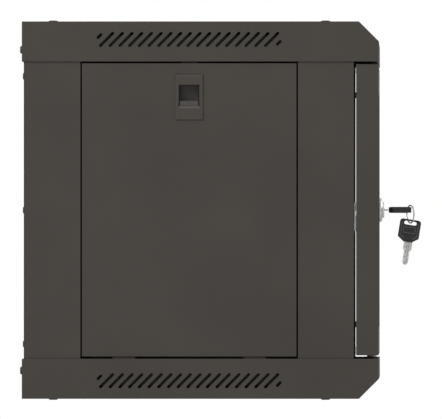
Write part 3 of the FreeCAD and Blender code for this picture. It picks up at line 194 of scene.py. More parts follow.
# %% [markdown]
# ## Powder coat
#
# The sheet steel is sprayed with dry powder and baked. The melted powder leaves a fine sandy
# grain about a millimetre across, with a slower orange peel under it, and it hides the metal
# completely, so it is a dull plastic-like surface and not a metallic one. Two noises make the
# relief. A very broad one, with a little of the grain, shifts the tone by up to a tenth, as it
# does on a panel that is sprayed by hand.

# %% Paint for the case and for the rails
def powder_coat(name, level, warm, roughness, grain):
    """Sprayed and baked paint. grain is the depth of its relief in millimetres."""
    material, spot = begin(name)
    sand = noise(spot, scale=1.5, detail=3.0)
    peel = noise(spot, scale=0.28)
    drift = noise(spot, scale=0.012, detail=3.0)
    flecks = noise(spot, scale=0.75, detail=1.0)
    tone = drift * 0.5 + sand * 0.25 + flecks * 0.25
    base = tone.step(0.3, 0.7).mix(grey(level * 0.9, warm), grey(level * 1.1, warm))
    rough = roughness + (sand - 0.5) * 0.16 + (drift - 0.5) * 0.08
    close(spot, Base_Color=base, Roughness=rough, Normal=bump(sand * 0.6 + peel * 0.4, grain),
          Specular_IOR_Level=0.2)
    return material


case_paint = powder_coat("case_paint", 0.0410, warm=0.14, roughness=0.56, grain=0.10)
rail_paint = powder_coat("rail_paint", 0.0260, warm=0.05, roughness=0.5, grain=0.07)
print("paints:", case_paint.name, rail_paint.name)

# %% [markdown]
# ## Bare and plated metal
#
# Zinc plate on the clamps, nuts and bolts is silvery with faint grey patches. The lock and the
# key ring are satin nickel, which is softer than chrome and greyer. The key blades are rolled
# nickel silver, brushed along their length. One function makes them all, because only the
# tint, the blotches and the direction of the scratches differ.

# %% Zinc, nickel and brushed blades
def metal(name, light, dark, roughness, spread, scratch, stretch=(1.0, 1.0, 1.0)):
    """Bare metal in two tints. stretch pulls its hairlines out, and scratch is their depth."""
    material, spot = begin(name)
    patches = noise(spot, scale=0.35, detail=3.0)
    hairs = noise(spot, scale=2.2, detail=4.0, stretch=stretch)
    base = patches.step(0.35, 0.65).mix(dark, light)
    rough = roughness + (patches - 0.5) * spread + (hairs - 0.5) * spread
    close(spot, Base_Color=base, Metallic=1.0, Roughness=rough,
          Normal=bump(hairs, scratch, strength=0.6))
    return material


zinc = metal("zinc_plate", light=(0.66, 0.67, 0.68, 1), dark=(0.52, 0.53, 0.55, 1),
             roughness=0.30, spread=0.22, scratch=0.012)
nickel = metal("satin_nickel", light=grey(0.56), dark=grey(0.47),
               roughness=0.33, spread=0.10, scratch=0.004)
blade_metal = metal("brushed_blade", light=grey(0.58, 0.02), dark=grey(0.40, 0.03),
                    roughness=0.28, spread=0.16, scratch=0.015, stretch=(3.0, 0.15, 3.0))
print("metals:", zinc.name, nickel.name, blade_metal.name)

# %% [markdown]
# ## Mouldings, rubber and glass
#
# The latches and key heads are moulded plastic whose mould was spark-eroded, so they carry a
# very fine matt grain. Rubber is rougher and a little dusty. The door's glass is clear, flat
# and faintly green, with smears in its gloss. A refracting pane would be slow and noisy over
# the dark inside, and a thin pane bends light too little to see, so light goes straight on
# and only the nearer face mirrors. The mirror is weak, so that the rack rails show.

# %% Plastics, rubber and screws
def moulding(name, level, warm, roughness, grain, cells=2.6, gloss=0.5):
    """Moulded plastic or rubber, with so many pits to a millimetre, and grain their depth."""
    material, spot = begin(name)
    pits = spot.node("TexVoronoi", {"Vector": spot, "Scale": cells}, output="Distance")
    cloud = noise(spot, scale=0.4, detail=3.0)
    base = cloud.step(0.35, 0.65).mix(grey(level * 0.92, warm), grey(level * 1.08, warm))
    rough = roughness + (cloud - 0.5) * 0.14
    close(spot, Base_Color=base, Roughness=rough, Normal=bump(pits, grain, strength=0.7),
          Specular_IOR_Level=gloss)
    return material


latch_plastic = moulding("latch_plastic", 0.0425, warm=0.14, roughness=0.5, grain=0.03, gloss=0.2)
# a shade lighter than latch_plastic: painted light against the shade in the finger pocket
slider_plastic = moulding("slider_plastic", 0.0520, warm=0.09, roughness=0.45, grain=0.03,
                          gloss=0.2)
key_plastic = moulding("key_plastic", 0.0120, warm=0.02, roughness=0.36, grain=0.02, gloss=0.3)
rim_plastic = moulding("rim_plastic", 0.0150, warm=0.02, roughness=0.34, grain=0.02, gloss=0.4)
black_rubber = moulding("black_rubber", 0.0100, warm=0.0, roughness=0.8, grain=0.05,
                        cells=1.4, gloss=0.2)
white_nylon = moulding("white_nylon", 0.62, warm=0.03, roughness=0.42, grain=0.015)
# lighter than key_plastic: a painted highlight for the crests of the key heads' raised lines
rubbed_plastic = moulding("rubbed_plastic", 0.0600, warm=0.02, roughness=0.3, grain=0.01)
# lighter than latch_plastic: a painted highlight on the latches' ramp and top lip
rubbed_latch = moulding("rubbed_latch", 0.0580, warm=0.14, roughness=0.4, grain=0.01, gloss=0.3)
screw_black = moulding("screw_black", 0.0180, warm=0.02, roughness=0.38, grain=0.012,
                       cells=1.8, gloss=0.4)
print("mouldings:", latch_plastic.name, key_plastic.name, black_rubber.name, white_nylon.name)

# %% Glass
PANE_MIRROR = 1.18         # as an index: it mirrors about a sixth of what 1.5, real glass, does


def clear_glass():
    """A thin pane: light goes straight through it, and only its nearer face mirrors."""
    material, spot = begin("door_glass")
    smears = noise(spot, scale=0.02, detail=5.0, stretch=(1.0, 1.0, 2.5))
    through = spot.node("BsdfTransparent", {"Color": (0.86, 0.90, 0.89, 1)})
    glossy = spot.node("BsdfPrincipled", {
        "Base Color": grey(0.9), "Metallic": 1.0, "Roughness": smears.step(0.5, 0.8) * 0.06})
    share = spot.node("Fresnel", {"IOR": PANE_MIRROR}) * (
        1.0 - spot.node("NewGeometry", output="Backfacing"))
    pane = spot.node("MixShader", {0: share, 1: through, 2: glossy})
    spot.node("OutputMaterial", {"Surface": pane})
    return material


door_glass = clear_glass()
print("glass ready:", door_glass.name)

# %% [markdown]
# ## Which solid wears which finish
#
# The record names a material slot for every solid, so the finishes are handed out by slot.
# Two kinds of solid differ from the rest of their slot. The key blades share the lock's slot
# and are brushed instead of plated, and the latches' sliders are a shade lighter than their
# housings, painted light that lifts the shade inside the finger pocket.

# %% Hand out the finishes
finish_of = {
    "painted_steel": case_paint, "rail_paint": rail_paint, "black_screws": screw_black,
    "zinc_steel": zinc, "chrome": nickel, "key_plastic": key_plastic,
    "latch_plastic": latch_plastic, "rubber": black_rubber, "nylon": white_nylon,
    "glass": door_glass,
}
slot_of = {part["node"]: part["material_slot"] for part in frame["record"]["subparts"]}
body_of = {node: body for body, group in frame["record"]["behaviour"]["bodies"].items()
           for node in group}
for name, solid in nodes.items():
    finish = finish_of[slot_of[name]]
    if "blade" in name:
        finish = blade_metal
    elif "slider" in name:
        # the sliders' lighter plastic is painted light for the shaded finger pocket
        finish = slider_plastic
    solid.data.materials.clear()
    solid.data.materials.append(finish)
print("finished solids:", len(slot_of))

# %% [markdown]
# ## Softening hard edges
#
# Folded sheet and moulded plastic never have knife edges, and the thin highlight that runs
# along a rounded edge is what makes a model look solid. Fillets in the solids would do it too,
# with many more faces there, so the solids stay as they are: a Weld modifier joins the doubled
# points of the file and a Bevel modifier rounds what is left.

# %% Round the edges with modifiers
DOUBLES = 0.002 * MM       # points of the file that lie closer than this are one point


def soften(name, width, steps=2, angle=40.0):
    """Round the edges that turn by more than angle degrees. width is in millimetres."""
    solid = nodes[name]
    weld = solid.modifiers.new("weld", "WELD")
    weld.merge_threshold = DOUBLES
    bevel = solid.modifiers.new("bevel", "BEVEL")
    bevel.width = width * MM
    bevel.segments = steps
    bevel.limit_method = "ANGLE"
    bevel.angle_limit = math.radians(angle)
    bevel.harden_normals = True


for side in ("left", "right"):
    soften("latch_housing_" + side, 0.25)
    soften("latch_slider_" + side, 0.7, steps=3)
    soften("side_panel_" + side, 0.4)
    soften("side_frame_" + side, 0.3, angle=60.0)
    soften("rack_rail_" + side, 0.3, angle=60.0)
for name in ("top_panel", "bottom_panel", "door_frame", "rear_panel", "lock_striker",
             "front_rail_top", "front_rail_bottom"):
    soften(name, 0.4, angle=60.0)
for name in ("key_head", "spare_key_head"):
    soften(name, 0.45, steps=3)
for name in ("frame_buffers", "door_buffers"):
    soften(name, 0.5, steps=3)
soften("lock_housing", 0.5, steps=3)
soften("glass_clamps", 0.2)
print("softened solids:", sum(1 for solid in nodes.values() if solid.modifiers))

# %% [markdown]
# ## Tools for the small round pieces
#
# Screws, springs and rings are drawn in the solids with a few flats. Their finer versions are
# all made by two moves: a sweep carries a section along a path, and a thread winds two lines,
# crest and root, down a shank. Both write into one mesh, so that all screws of a kind stay
# one piece, as they are one node in the frame. Curves and Screw modifiers could do the same,
# but a few loops of points show what happens and give clean quads.

# %% Sweep a section along a path, and wind a thread
def around(radius, sides):
    """Points of a round section."""
    turns = [math.tau * step / sides for step in range(sides)]
    return [(radius * math.cos(turn), radius * math.sin(turn)) for turn in turns]


def skin(mesh, loops, smooth=True, closed=False):
    """Quads between loops that have as many points each. Both ends are capped, unless the
    last loop joins the first one again."""
    rings = [[mesh.verts.new(point) for point in loop] for loop in loops]
    count = len(rings[0])
    following = rings[1:] + ([rings[0]] if closed else [])
    for here, there in zip(rings, following):
        for step in range(count):
            after = (step + 1) % count
            face = mesh.faces.new((here[step], here[after], there[after], there[step]))
            face.smooth = smooth
    if not closed:
        mesh.faces.new(reversed(rings[0]))
        mesh.faces.new(rings[-1])


def sweep(mesh, path, section, up=(0.0, 0.0, 1.0)):
    """Carry a section along a path. The section's second axis stays as near up as it can."""
    loops = []
    for step, here in enumerate(path):
        ahead = path[min(step + 1, len(path) - 1)] - path[max(step - 1, 0)]
        side = ahead.cross(Vector(up)).normalized()
        top = side.cross(ahead).normalized()
        loops.append([here + side * x + top * y for x, y in section])
    skin(mesh, loops)


def thread(mesh, place, crest, root, pitch, length, sides=16):
    """Wind a thread, in millimetres, down from place. The Z axis of place points to the head."""
    count = int(length / pitch * sides)
    lines = []
    for radius, drop in ((crest, 0.0), (root, pitch / 2.0)):
        line = []
        for step in range(count + 1):
            turn = math.tau * step / sides
            point = Vector((radius * math.cos(turn), radius * math.sin(turn),
                            -pitch * step / sides - drop))
            line.append(mesh.verts.new(place @ (point * MM)))
        lines.append(line)
    high, deep = lines
    for step in range(count):
        mesh.faces.new((high[step], high[step + 1], deep[step + 1], deep[step]))
        below = step + sides
        if below + 1 <= count:
            mesh.faces.new((deep[step], deep[step + 1], high[below + 1], high[below]))


print("sweep and thread ready")

# %% Put a piece in the place of a solid
CREASE = math.radians(35.0)     # an edge that turns by more stays sharp


def finish_piece(mesh, name, node, material, instead=True):
    """Turn a bmesh into an object that rides with a node, and takes its place unless told."""
    bmesh.ops.recalc_face_normals(mesh, faces=mesh.faces)
    for edge in mesh.edges:
        if len(edge.link_faces) == 2 and edge.calc_face_angle() > CREASE:
            edge.smooth = False
    data = bpy.data.meshes.new(name)
    mesh.to_mesh(data)
    mesh.free()
    data.materials.append(material)
    piece = bpy.data.objects.new(name, data)
    bpy.context.scene.collection.objects.link(piece)
    if instead:
        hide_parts(node)
    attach(piece, body_of[node])
    return piece


def middle_of(node):
    """The middle of a node's box."""
    low_corner, high_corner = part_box(node)
    return (low_corner + high_corner) / 2.0


def islands(node):
    """The separate solids of one node, each as the low and high corner of its box. They come
    sorted by place, so that every run hands the same screw the same random turn."""
    mesh = bmesh.new()
    mesh.from_mesh(nodes[node].data)
    mesh.transform(nodes[node].matrix_world)
    bmesh.ops.remove_doubles(mesh, verts=mesh.verts, dist=DOUBLES)
    left = set(mesh.verts)
    boxes = []
    while left:
        waiting = [left.pop()]
        points = []
        while waiting:
            vert = waiting.pop()
            points.append(vert.co)
            fresh = {edge.other_vert(vert) for edge in vert.link_edges} & left
            left -= fresh
            waiting.extend(fresh)
        boxes.append([Vector(pick(point[axis] for point in points) for axis in range(3))
                      for pick in (min, max)])
    mesh.free()
    return sorted(boxes, key=lambda box: tuple(box[0]))


print("ready to put pieces in place of solids")

# %% [markdown]
# ## Screws
#
# The case is held by low pan-head screws with a cross recess. The head is turned: a gently
# domed top, a rounded rim and a flat seat. The recess is pressed in, so its four arms taper
# as they go down. Twenty-four points go round the cross and round every ring of the head, so
# plain quads join them.

# %% A pan-head screw with a cross recess
# All are shares: of the head's radius and height, or of the shank's radius.
CROSS_ARM, CROSS_WIDTH = 0.52, 0.13
CROSS_CORNER = 1.6         # how far along the arms its rounding reaches, in widths
RECESS = [(0.35, 0.35), (0.85, 0.45), (1.0, 0.97)]     # the cross from its floor to its mouth
HEAD = [(0.66, 0.95), (0.84, 0.86), (0.95, 0.66), (1.0, 0.40), (0.985, 0.0)]    # to the seat
THREAD_ROOT, THREAD_PITCH = 0.84, 0.36
POINT_LONG, POINT_WIDE = 0.5, 0.6      # the shank's end; its width is a share of the root's


def cross(arm, width):
    """Twenty-four points round a plus sign, six to each quarter."""
    reach = width * CROSS_CORNER
    corner = [(arm, 0.0), (arm, width), (reach, width), (width, width), (width, reach),
              (width, arm)]
    points = []
    for quarter in range(4):
        turn = Matrix.Rotation(quarter * math.pi / 2.0, 2)
        points += [turn @ Vector(point) for point in corner]
    return points


def pan_screw(mesh, place, head, height, shank, length):
    """One screw in millimetres. place is a matrix at the seat, with Z up through the head."""
    plus = cross(head * CROSS_ARM, head * CROSS_WIDTH)
    turns = [math.atan2(point.y, point.x) for point in plus]
    loops = [[(point.x * wide, point.y * wide, height * high) for point in plus]
             for wide, high in RECESS]
    root = shank * THREAD_ROOT
    point_long = shank * POINT_LONG
    rings = [(head * wide, height * high) for wide, high in HEAD]
    rings += [(root, 0.0), (root, -length + point_long), (root * POINT_WIDE, -length)]
    loops += [[(radius * math.cos(turn), radius * math.sin(turn), z) for turn in turns]
              for radius, z in rings]
    skin(mesh, [[place @ (Vector(point) * MM) for point in loop] for loop in loops])
    thread(mesh, place, shank, root, shank * THREAD_PITCH, length - point_long)


print("cross recess of", len(cross(1.0, 0.25)), "points")

# %% [markdown]
# ## Screws in their places
#
# Each node of screws holds several solids. Their boxes tell where each screw sits, how wide
# its head is and how long it is, so nothing has to be measured twice. A fitter never stops
# all crosses at the same angle, so each screw gets its own turn.

# %% Swap every screw for a finer one
def screws_of(node, inward, height, shank, material):
    """Put a finer screw in the place of each solid of a node of screws. inward is the way
    they are driven, height that of the head and shank a radius, in millimetres."""
    mesh = bmesh.new()
    inward = Vector(inward)
    turn = (-inward).to_track_quat("Z", "Y").to_matrix().to_4x4()
    rng = random.Random(node)
    boxes = islands(node)
    for low_corner, high_corner in boxes:
        middle = (low_corner + high_corner) / 2.0
        size = high_corner - low_corner
        along = abs(size.dot(inward))
        head = min(abs(size[axis]) for axis in range(3) if abs(inward[axis]) < 0.5) / 2.0 / MM
        seat = middle - inward * (along / 2.0 - height * MM)
        spin = Matrix.Rotation(rng.uniform(0.0, math.pi / 2.0), 4, "Z")
        pan_screw(mesh, Matrix.Translation(seat) @ turn @ spin, head, height, shank,
                  along / MM - height)
    finish_piece(mesh, node + "_fine", node, material)
    return len(boxes)


made = 0
for node, inward, height, shank in (("top_panel_screws", (0, 0, -1), 1.1, 2.3),
                                    ("bottom_panel_screws", (0, 0, 1), 1.1, 2.3),
                                    ("rear_flange_screws", (0, -1, 0), 2.0, 1.9),
                                    ("rear_panel_screws", (0, -1, 0), 1.15, 1.8),
                                    ("front_rail_screws", (0, 1, 0), 1.6, 1.9)):
    made += screws_of(node, inward, height, shank, screw_black)
print("screws made:", made)

# %% [markdown]
# ## The sprung hinge pin
#
# Inside the door, behind its hinge stile, a steel pin slides down against a spring to let the
# door off. It is one bar bent over at the bottom as a finger grip, so it is swept along a
# straight run, a quarter bend and another run. Its two ends and its collar are turned forms.

# %% Bend the pin and turn its ends
PIN = 3.0 * MM             # radius of the bar
BEND = 5.5 * MM            # radius of its middle line in the bend
BEND_STEPS = 8
PIN_TIP = [(2.2, 0.0), (2.9, -0.7), (3.0, -1.1), (2.9, -1.2)]
GRIP_END = [(2.3, 0.0), (2.85, -0.25), (3.0, -0.7), (2.9, -0.8)]
COLLAR = [(2.9, 0.0), (4.4, 0.0), (4.6, 0.2), (4.6, 1.8), (4.4, 2.0), (2.9, 2.0)]
TIP_SUNK, GRIP_SUNK = 1.0 * MM, 0.6 * MM     # how far the bar ends inside its turned ends
COLLAR_GAP = 0.1 * MM                        # between the spring and the collar


def lathe(mesh, place, profile, sides=40):
    """Turn pairs of radius and height, in millimetres, about the Z axis of place."""
    skin(mesh, [[place @ (Vector((x, y, height)) * MM) for x, y in around(radius, sides)]
                for radius, height in profile])


pin_low, pin_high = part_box("top_hinge_pin")
spring_low, spring_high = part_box("hinge_pin_spring")
axis_x, axis_y = middle_of("hinge_pin_spring").xy
grip_z = pin_low.z + PIN
bend_middle = Vector((axis_x - BEND, axis_y, grip_z + BEND))
path = [Vector((axis_x, axis_y, pin_high.z - TIP_SUNK))]
for step in range(BEND_STEPS + 1):
    turn = step * math.pi / (2.0 * BEND_STEPS)
    path.append(bend_middle + Vector((math.cos(turn), 0.0, -math.sin(turn))) * BEND)
path.append(Vector((pin_low.x + GRIP_SUNK, axis_y, grip_z)))
mesh = bmesh.new()
sweep(mesh, path, around(PIN, 32), up=(0.0, 1.0, 0.0))
upright = Matrix.Translation((axis_x, axis_y, pin_high.z))
lathe(mesh, upright, PIN_TIP)
level = Matrix.Translation((pin_low.x, axis_y, grip_z)) @ Matrix.Rotation(-math.pi / 2.0, 4, "Y")
lathe(mesh, level, GRIP_END)
seat = Matrix.Translation((axis_x, axis_y, spring_high.z + COLLAR_GAP))
lathe(mesh, seat, COLLAR)
finish_piece(mesh, "top_hinge_pin_bar", "top_hinge_pin", zinc)
print("pin", round((pin_high.z - pin_low.z) / MM, 1), "mm high")

# %% [markdown]
# ## The hinge pin's spring
#
# The spring is round wire in five turns, with its two end coils closed flat against their
# seats, so the rise is slow at both ends. On the real door it shortens towards the collar as
# the collar comes down with the pin, while its foot stays on the bracket. This coil is wound
# once, at rest.

# %% Wind the spring
WIRE = 0.4 * MM            # radius of the wire
TURNS, STEPS = 5, 24
CLOSED = 0.75              # of a turn at each end, where one coil lies on the next
coil = (spring_high.x - spring_low.x) / 2.0 - WIRE
travel = spring_high.z - spring_low.z - 2.0 * WIRE
path = []
for step in range(TURNS * STEPS + 1):
    share = step / (TURNS * STEPS)
    wound = share * TURNS
    rise = min(max((wound - CLOSED) / (TURNS - 2.0 * CLOSED), 0.0), 1.0)
    lift = WIRE * 2.0 * min(wound, CLOSED) / CLOSED
    lift += WIRE * 2.0 * max(wound - TURNS + CLOSED, 0.0) / CLOSED
    path.append(Vector((axis_x + coil * math.cos(math.tau * share * TURNS),
                        axis_y + coil * math.sin(math.tau * share * TURNS),
                        spring_low.z + WIRE + lift + rise * (travel - 4.0 * WIRE))))
mesh = bmesh.new()
sweep(mesh, path, around(WIRE, 10))
spring = finish_piece(mesh, "hinge_pin_coil", "hinge_pin_spring", zinc)
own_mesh(spring)

# %% [markdown]
# ## Split ring
#
# A key ring is one strip wound twice round and squeezed flat. Each turn lies in its own layer
# and the strip jogs from one layer to the other in a short stretch, with its two ends on
# either side of that jog. The strip is swept along this path, and its plane comes from the
# joint about which the ring turns.

# %% Wind the ring
RING = 8.75 * MM           # radius of the strip's middle line
STRIP, LAYER = 0.53 * MM, 0.29 * MM     # half the strip's width and half its thickness
SLACK = 0.96               # of the thickness, so that the layers stay just apart
ROUNDED = 0.6              # power that turns a circle into a strip with rounded corners
CORNER_TURN = 0.01         # keeps the section's points off its axes
JOG = math.radians(16.0)   # half the stretch in which the strip changes layer
JOG_PLACE = math.radians(200.0)
END_CLEAR = 1.15           # how far from the middle of that stretch the ends lie, in JOGs
RING_STEPS = 140
UP = Vector((0.0, 0.0, 1.0))
ring_middle = middle_of("key_ring")
ring_axis = Vector(joints["ring_turn"]["axis"]).normalized()
ring_side = ring_axis.cross(UP).normalized()


def ring_point(wound):
    """The strip's middle line, after it has wound through an angle."""
    lean = min(max((wound - math.tau + JOG) / (2.0 * JOG), 0.0), 1.0)
    layer = (2.0 * lean * lean * (3.0 - 2.0 * lean) - 1.0) * LAYER
    angle = wound + JOG_PLACE
    outward = ring_side * math.cos(angle) + UP * math.sin(angle)
    return ring_middle + ring_axis * layer + outward * RING


def flattened(part):
    """A sine or cosine, pushed outwards so that the section is squarer."""
    return math.copysign(abs(part) ** ROUNDED, part)


first = JOG * END_CLEAR
last = 2.0 * math.tau - JOG * END_CLEAR
path = [ring_point(first + (last - first) * step / RING_STEPS) for step in range(RING_STEPS + 1)]
turns = [step * math.pi / 6.0 + CORNER_TURN for step in range(12)]
section = [(STRIP * flattened(math.cos(turn)), LAYER * SLACK * flattened(math.sin(turn)))
           for turn in turns]
mesh = bmesh.new()
sweep(mesh, path, section, up=ring_axis)
finish_piece(mesh, "split_ring", "key_ring", nickel)
print("ring wound over", round(math.degrees(last - first)), "degrees")

# %% [markdown]
# ## Key blades
#
# A flat key is punched from strip, milled with a groove along each face, and then cut: a row
# of notches in both edges, each as deep as one disc of the lock needs. The blade is skinned
# along its length from one grooved section whose half width follows the outline, less the
# notches. A Boolean cut for every notch would do too, but it leaves long thin faces.

# %% Draw a blade with its groove and notches
BLADE = 30.9               # whole length in millimetres, its root in the head included
BLADE_EDGE = [(0.0, 4.25), (15.5, 4.25), (17.0, 3.1), (27.9, 3.1), (29.9, 1.9), (30.9, 1.1)]
SECTION_EVERY = 0.25
HALF_THICK = 0.85
GROOVE_HALF, GROOVE_SLOPE, GROOVE_DEEP = 0.85, 0.4, 0.55
GROOVE_END = 27.0          # over the last millimetre before this, the groove runs out
NOTCHES, NOTCH_PITCH, FIRST_NOTCH = 5, 2.15, 17.2
NOTCH_LEAST, NOTCH_MORE, NOTCH_VARIES = 0.35, 0.45, 2.4     # depth, and how it changes
NOTCH_FLOOR, NOTCH_FLANK = 1.6, 4.4    # how broad the floor and how steep the flanks are
LEFT_PHASE, RIGHT_PHASE = 0.4, 1.9     # so that the two edges are cut differently


def half_width(y):
    """Half the width of the uncut blade, y millimetres from its root."""
    for (start, wide), (end, narrow) in zip(BLADE_EDGE, BLADE_EDGE[1:]):
        if y <= end:
            return wide + (narrow - wide) * (y - start) / (end - start)
    return BLADE_EDGE[-1][1]


def notch(y, phase):
    """How deep the edge is cut at y. Each notch has its own depth. Its floor and its two
    flanks each take about a quarter of the pitch."""
    along = (y - FIRST_NOTCH) / NOTCH_PITCH
    count = math.floor(along)
    if not 0 <= count < NOTCHES:
        return 0.0
    depth = NOTCH_LEAST + NOTCH_MORE * abs(math.sin(NOTCH_VARIES * count + phase))
    share = along - count
    return depth * min(1.0, max(0.0, NOTCH_FLOOR - abs(share - 0.5) * NOTCH_FLANK))


def blade(mesh, place):
    """One cut blade. The Y axis of place runs from its root to its tip."""
    mouth = GROOVE_HALF + GROOVE_SLOPE
    evenly = {step * SECTION_EVERY for step in range(int(BLADE / SECTION_EVERY) + 1)}
    loops = []
    for y in sorted(evenly | {BLADE}):
        left = half_width(y) - notch(y, LEFT_PHASE)
        right = half_width(y) - notch(y, RIGHT_PHASE)
        groove = GROOVE_DEEP * min(1.0, max(0.0, GROOVE_END - y)) - HALF_THICK
        low_side = [(-left, -HALF_THICK), (-mouth, -HALF_THICK), (-GROOVE_HALF, groove),
                    (GROOVE_HALF, groove), (mouth, -HALF_THICK), (right, -HALF_THICK)]
        section = low_side + [(x, -z) for x, z in reversed(low_side)]
        loops.append([place @ (Vector((x, y - BLADE / 2.0, z)) * MM) for x, z in section])
    skin(mesh, loops, smooth=False)


print("blade", BLADE, "mm long, with", NOTCHES, "notches in each edge")

# %% [markdown]
# ## Ribs and rims of the key heads
#
# A moulded head has raised lines that stiffen it and give the fingers hold: a rim along both
# sides, and a plain rectangle in the middle. The inner strip beside the rim and the rectangle
# are coloured lighter than the head, a painted highlight on their crests. They are thin pieces
# over the solid.

# %% Draw the raised lines of a head
HEAD_MIDDLE = 11.1         # from the outer end of a key's head, in millimetres
RIM_OUT = [(9.4, 3.6), (9.4, 17.2), (4.9, 20.4)]
RIM_IN = [(8.3, 3.6), (8.3, 16.6), (4.3, 19.5)]
HIGHLIGHT_IN = [(7.6, 3.6), (7.6, 16.3), (3.9, 18.9)]
RIM_FOOT, RIM_TOP, HIGHLIGHT_TOP = 2.7, 2.95, 2.98        # heights over the head's middle
RIM_SLOPE = 0.1
FRAME_WIDE, FRAME_LONG, FRAME_WALL = 12.4, 6.6, 0.8
FRAME_FOOT, FRAME_TOP, FRAME_SLOPE = 2.2, 2.7, 0.15    # it rises from a recess, to the face
FRAME_SHIFT = 0.25         # how much nearer the outer end than the head's middle it lies
BOTH = (-1.0, 1.0)


def raised_frame(mesh, place):
    """The plain rectangle in the middle of both faces of a key's head."""
    wall = [(0.0, FRAME_FOOT), (-FRAME_SLOPE, FRAME_TOP),
            (-FRAME_WALL + FRAME_SLOPE, FRAME_TOP), (-FRAME_WALL, FRAME_FOOT)]
    corners = ((-1, -1), (1, -1), (1, 1), (-1, 1))
    for face in BOTH:
        loops = []
        for grow, z in wall:
            x = FRAME_WIDE / 2.0 + grow
            y = FRAME_LONG / 2.0 + grow
            loops.append([place @ (Vector((a * x, b * y - FRAME_SHIFT, face * z)) * MM)
                          for a, b in corners])
        skin(mesh, loops, smooth=False, closed=True)


def raised_strip(mesh, place, outer, inner, top):
    """A raised strip on both faces and both sides of a head, between two lines."""
    for side in BOTH:
        for face in BOTH:
            loops = []
            for (out_x, out_y), (in_x, in_y) in zip(outer, inner):
                wall = ((out_x, out_y, RIM_FOOT), (out_x - RIM_SLOPE, out_y, top),
                        (in_x + RIM_SLOPE, in_y, top), (in_x, in_y, RIM_FOOT))
                loops.append([place @ (Vector((side * x, y - HEAD_MIDDLE, face * z)) * MM)
                              for x, y, z in wall])
            skin(mesh, loops, smooth=False)


print("rims reach", RIM_TOP, "mm and the rectangle", FRAME_TOP, "mm from the head's middle")

# %% Put both keys together
SPARE_TILT = 9.2           # degrees from plumb, as the spare key hangs
lowered = Matrix.Rotation(math.radians(SPARE_TILT - 90.0), 4, "X")
hang = lowered @ Matrix.Rotation(math.pi / 2.0, 4, "Y")
for name, turn in (("", Matrix.Identity(4)), ("spare_", hang)):
    blade_place = Matrix.Translation(middle_of(name + "key_blade")) @ turn
    head_place = Matrix.Translation(middle_of(name + "key_head")) @ turn
    mesh = bmesh.new()
    blade(mesh, blade_place)
    finish_piece(mesh, name + "key_blade_cut", name + "key_blade", blade_metal)
    mesh = bmesh.new()
    raised_frame(mesh, head_place)
    raised_strip(mesh, head_place, RIM_IN, HIGHLIGHT_IN, HIGHLIGHT_TOP)
    # the lighter plastic of these raised lines is a painted highlight
    finish_piece(mesh, name + "key_head_rib", name + "key_head", rubbed_plastic, instead=False)
    mesh = bmesh.new()
    raised_strip(mesh, head_place, RIM_OUT, RIM_IN, RIM_TOP)
    finish_piece(mesh, name + "key_head_rim", name + "key_head", rim_plastic, instead=False)
    print(name + "key dressed")

# %% [markdown]
# ## Ramp and lip of the latches
#
# Under the slider's grip the housing has a short ramp that leads the fingertip in, and along
# its top edge runs a small raised lip. Both are coloured lighter than the housing, a painted
# highlight. Each is one section drawn across the latch, with its edges rounded by a Bevel
# modifier. Points of a section are how deep they lie behind the face, and how high, both in
# millimetres.

# %% Draw both sections across the latch
RAMP_HALF = 10.25          # a hair over half the pocket's width
RAMP_DROP = 30.75          # from the latch's top to the pocket's foot
LIP_HALF = 13.0            # half the lip's length
EDGE = 0.12 * MM           # rounding of both
ramp = [(0.0, -2.6), (0.45, -0.12), (3.2, -0.12), (2.6, -1.9), (0.8, -2.9)]
lip = [(-0.1, -0.9), (-0.1, -1.6), (0.3, -1.8), (0.9, -0.7)]
for side, outward in (("left", -1.0), ("right", 1.0)):
    housing_low, housing_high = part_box("latch_housing_" + side)
    face_x = housing_low.x if outward < 0.0 else housing_high.x
    middle_y = middle_of("latch_housing_" + side).y
    for name, section, half, drop in (("latch_ramp_", ramp, RAMP_HALF, RAMP_DROP),
                                      ("latch_lip_", lip, LIP_HALF, 0.0)):
        mesh = bmesh.new()
        skin(mesh, [[Vector((face_x - outward * depth * MM, middle_y + across * half * MM,
                             housing_high.z + (z - drop) * MM)) for depth, z in section]
                    for across in BOTH], smooth=False)
        # the lighter plastic of the ramp and lip is a painted highlight
        piece = finish_piece(mesh, name + side, "latch_housing_" + side, rubbed_latch,
                             instead=False)
        bevel = piece.modifiers.new("bevel", "BEVEL")
        bevel.width = EDGE
        bevel.segments = 2
    print(side, "latch, its face at x", round(face_x / MM, 2), "mm")

# %% [markdown]
# ## Thread of the lock
#
# The lock's barrel is threaded so that a thin nut can clamp it to the door's sheet. Only the
# stretch behind the nut shows, once the door is open, so only that stretch is wound.

# %% Wind the thread on the barrel
BARREL_CREST, BARREL_ROOT, BARREL_PITCH = 9.75, 9.3, 1.0
THREAD_START = 0.3 * MM    # in front of the barrel's back end
barrel_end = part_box("lock_housing")[1].y
stretch = (barrel_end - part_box("lock_nut")[1].y) / MM
middle = middle_of("lock_housing")
facing = Matrix.Translation((middle.x, barrel_end - THREAD_START, middle.z))
facing = facing @ Matrix.Rotation(-math.pi / 2.0, 4, "X")
mesh = bmesh.new()
thread(mesh, facing, BARREL_CREST, BARREL_ROOT, BARREL_PITCH, stretch - BARREL_PITCH, sides=48)
finish_piece(mesh, "lock_barrel_thread", "lock_housing", nickel, instead=False)
print("thread length", round(stretch, 1), "mm")

# %% [markdown]
# ## Camera
#
# The cabinet is seen square on from its lock side through a very long lens, so that depth
# hardly shows. The camera stands almost in line with the gap behind the door, which is why a
# thread of daylight shows through it, and turns a fraction of a degree to the middle.

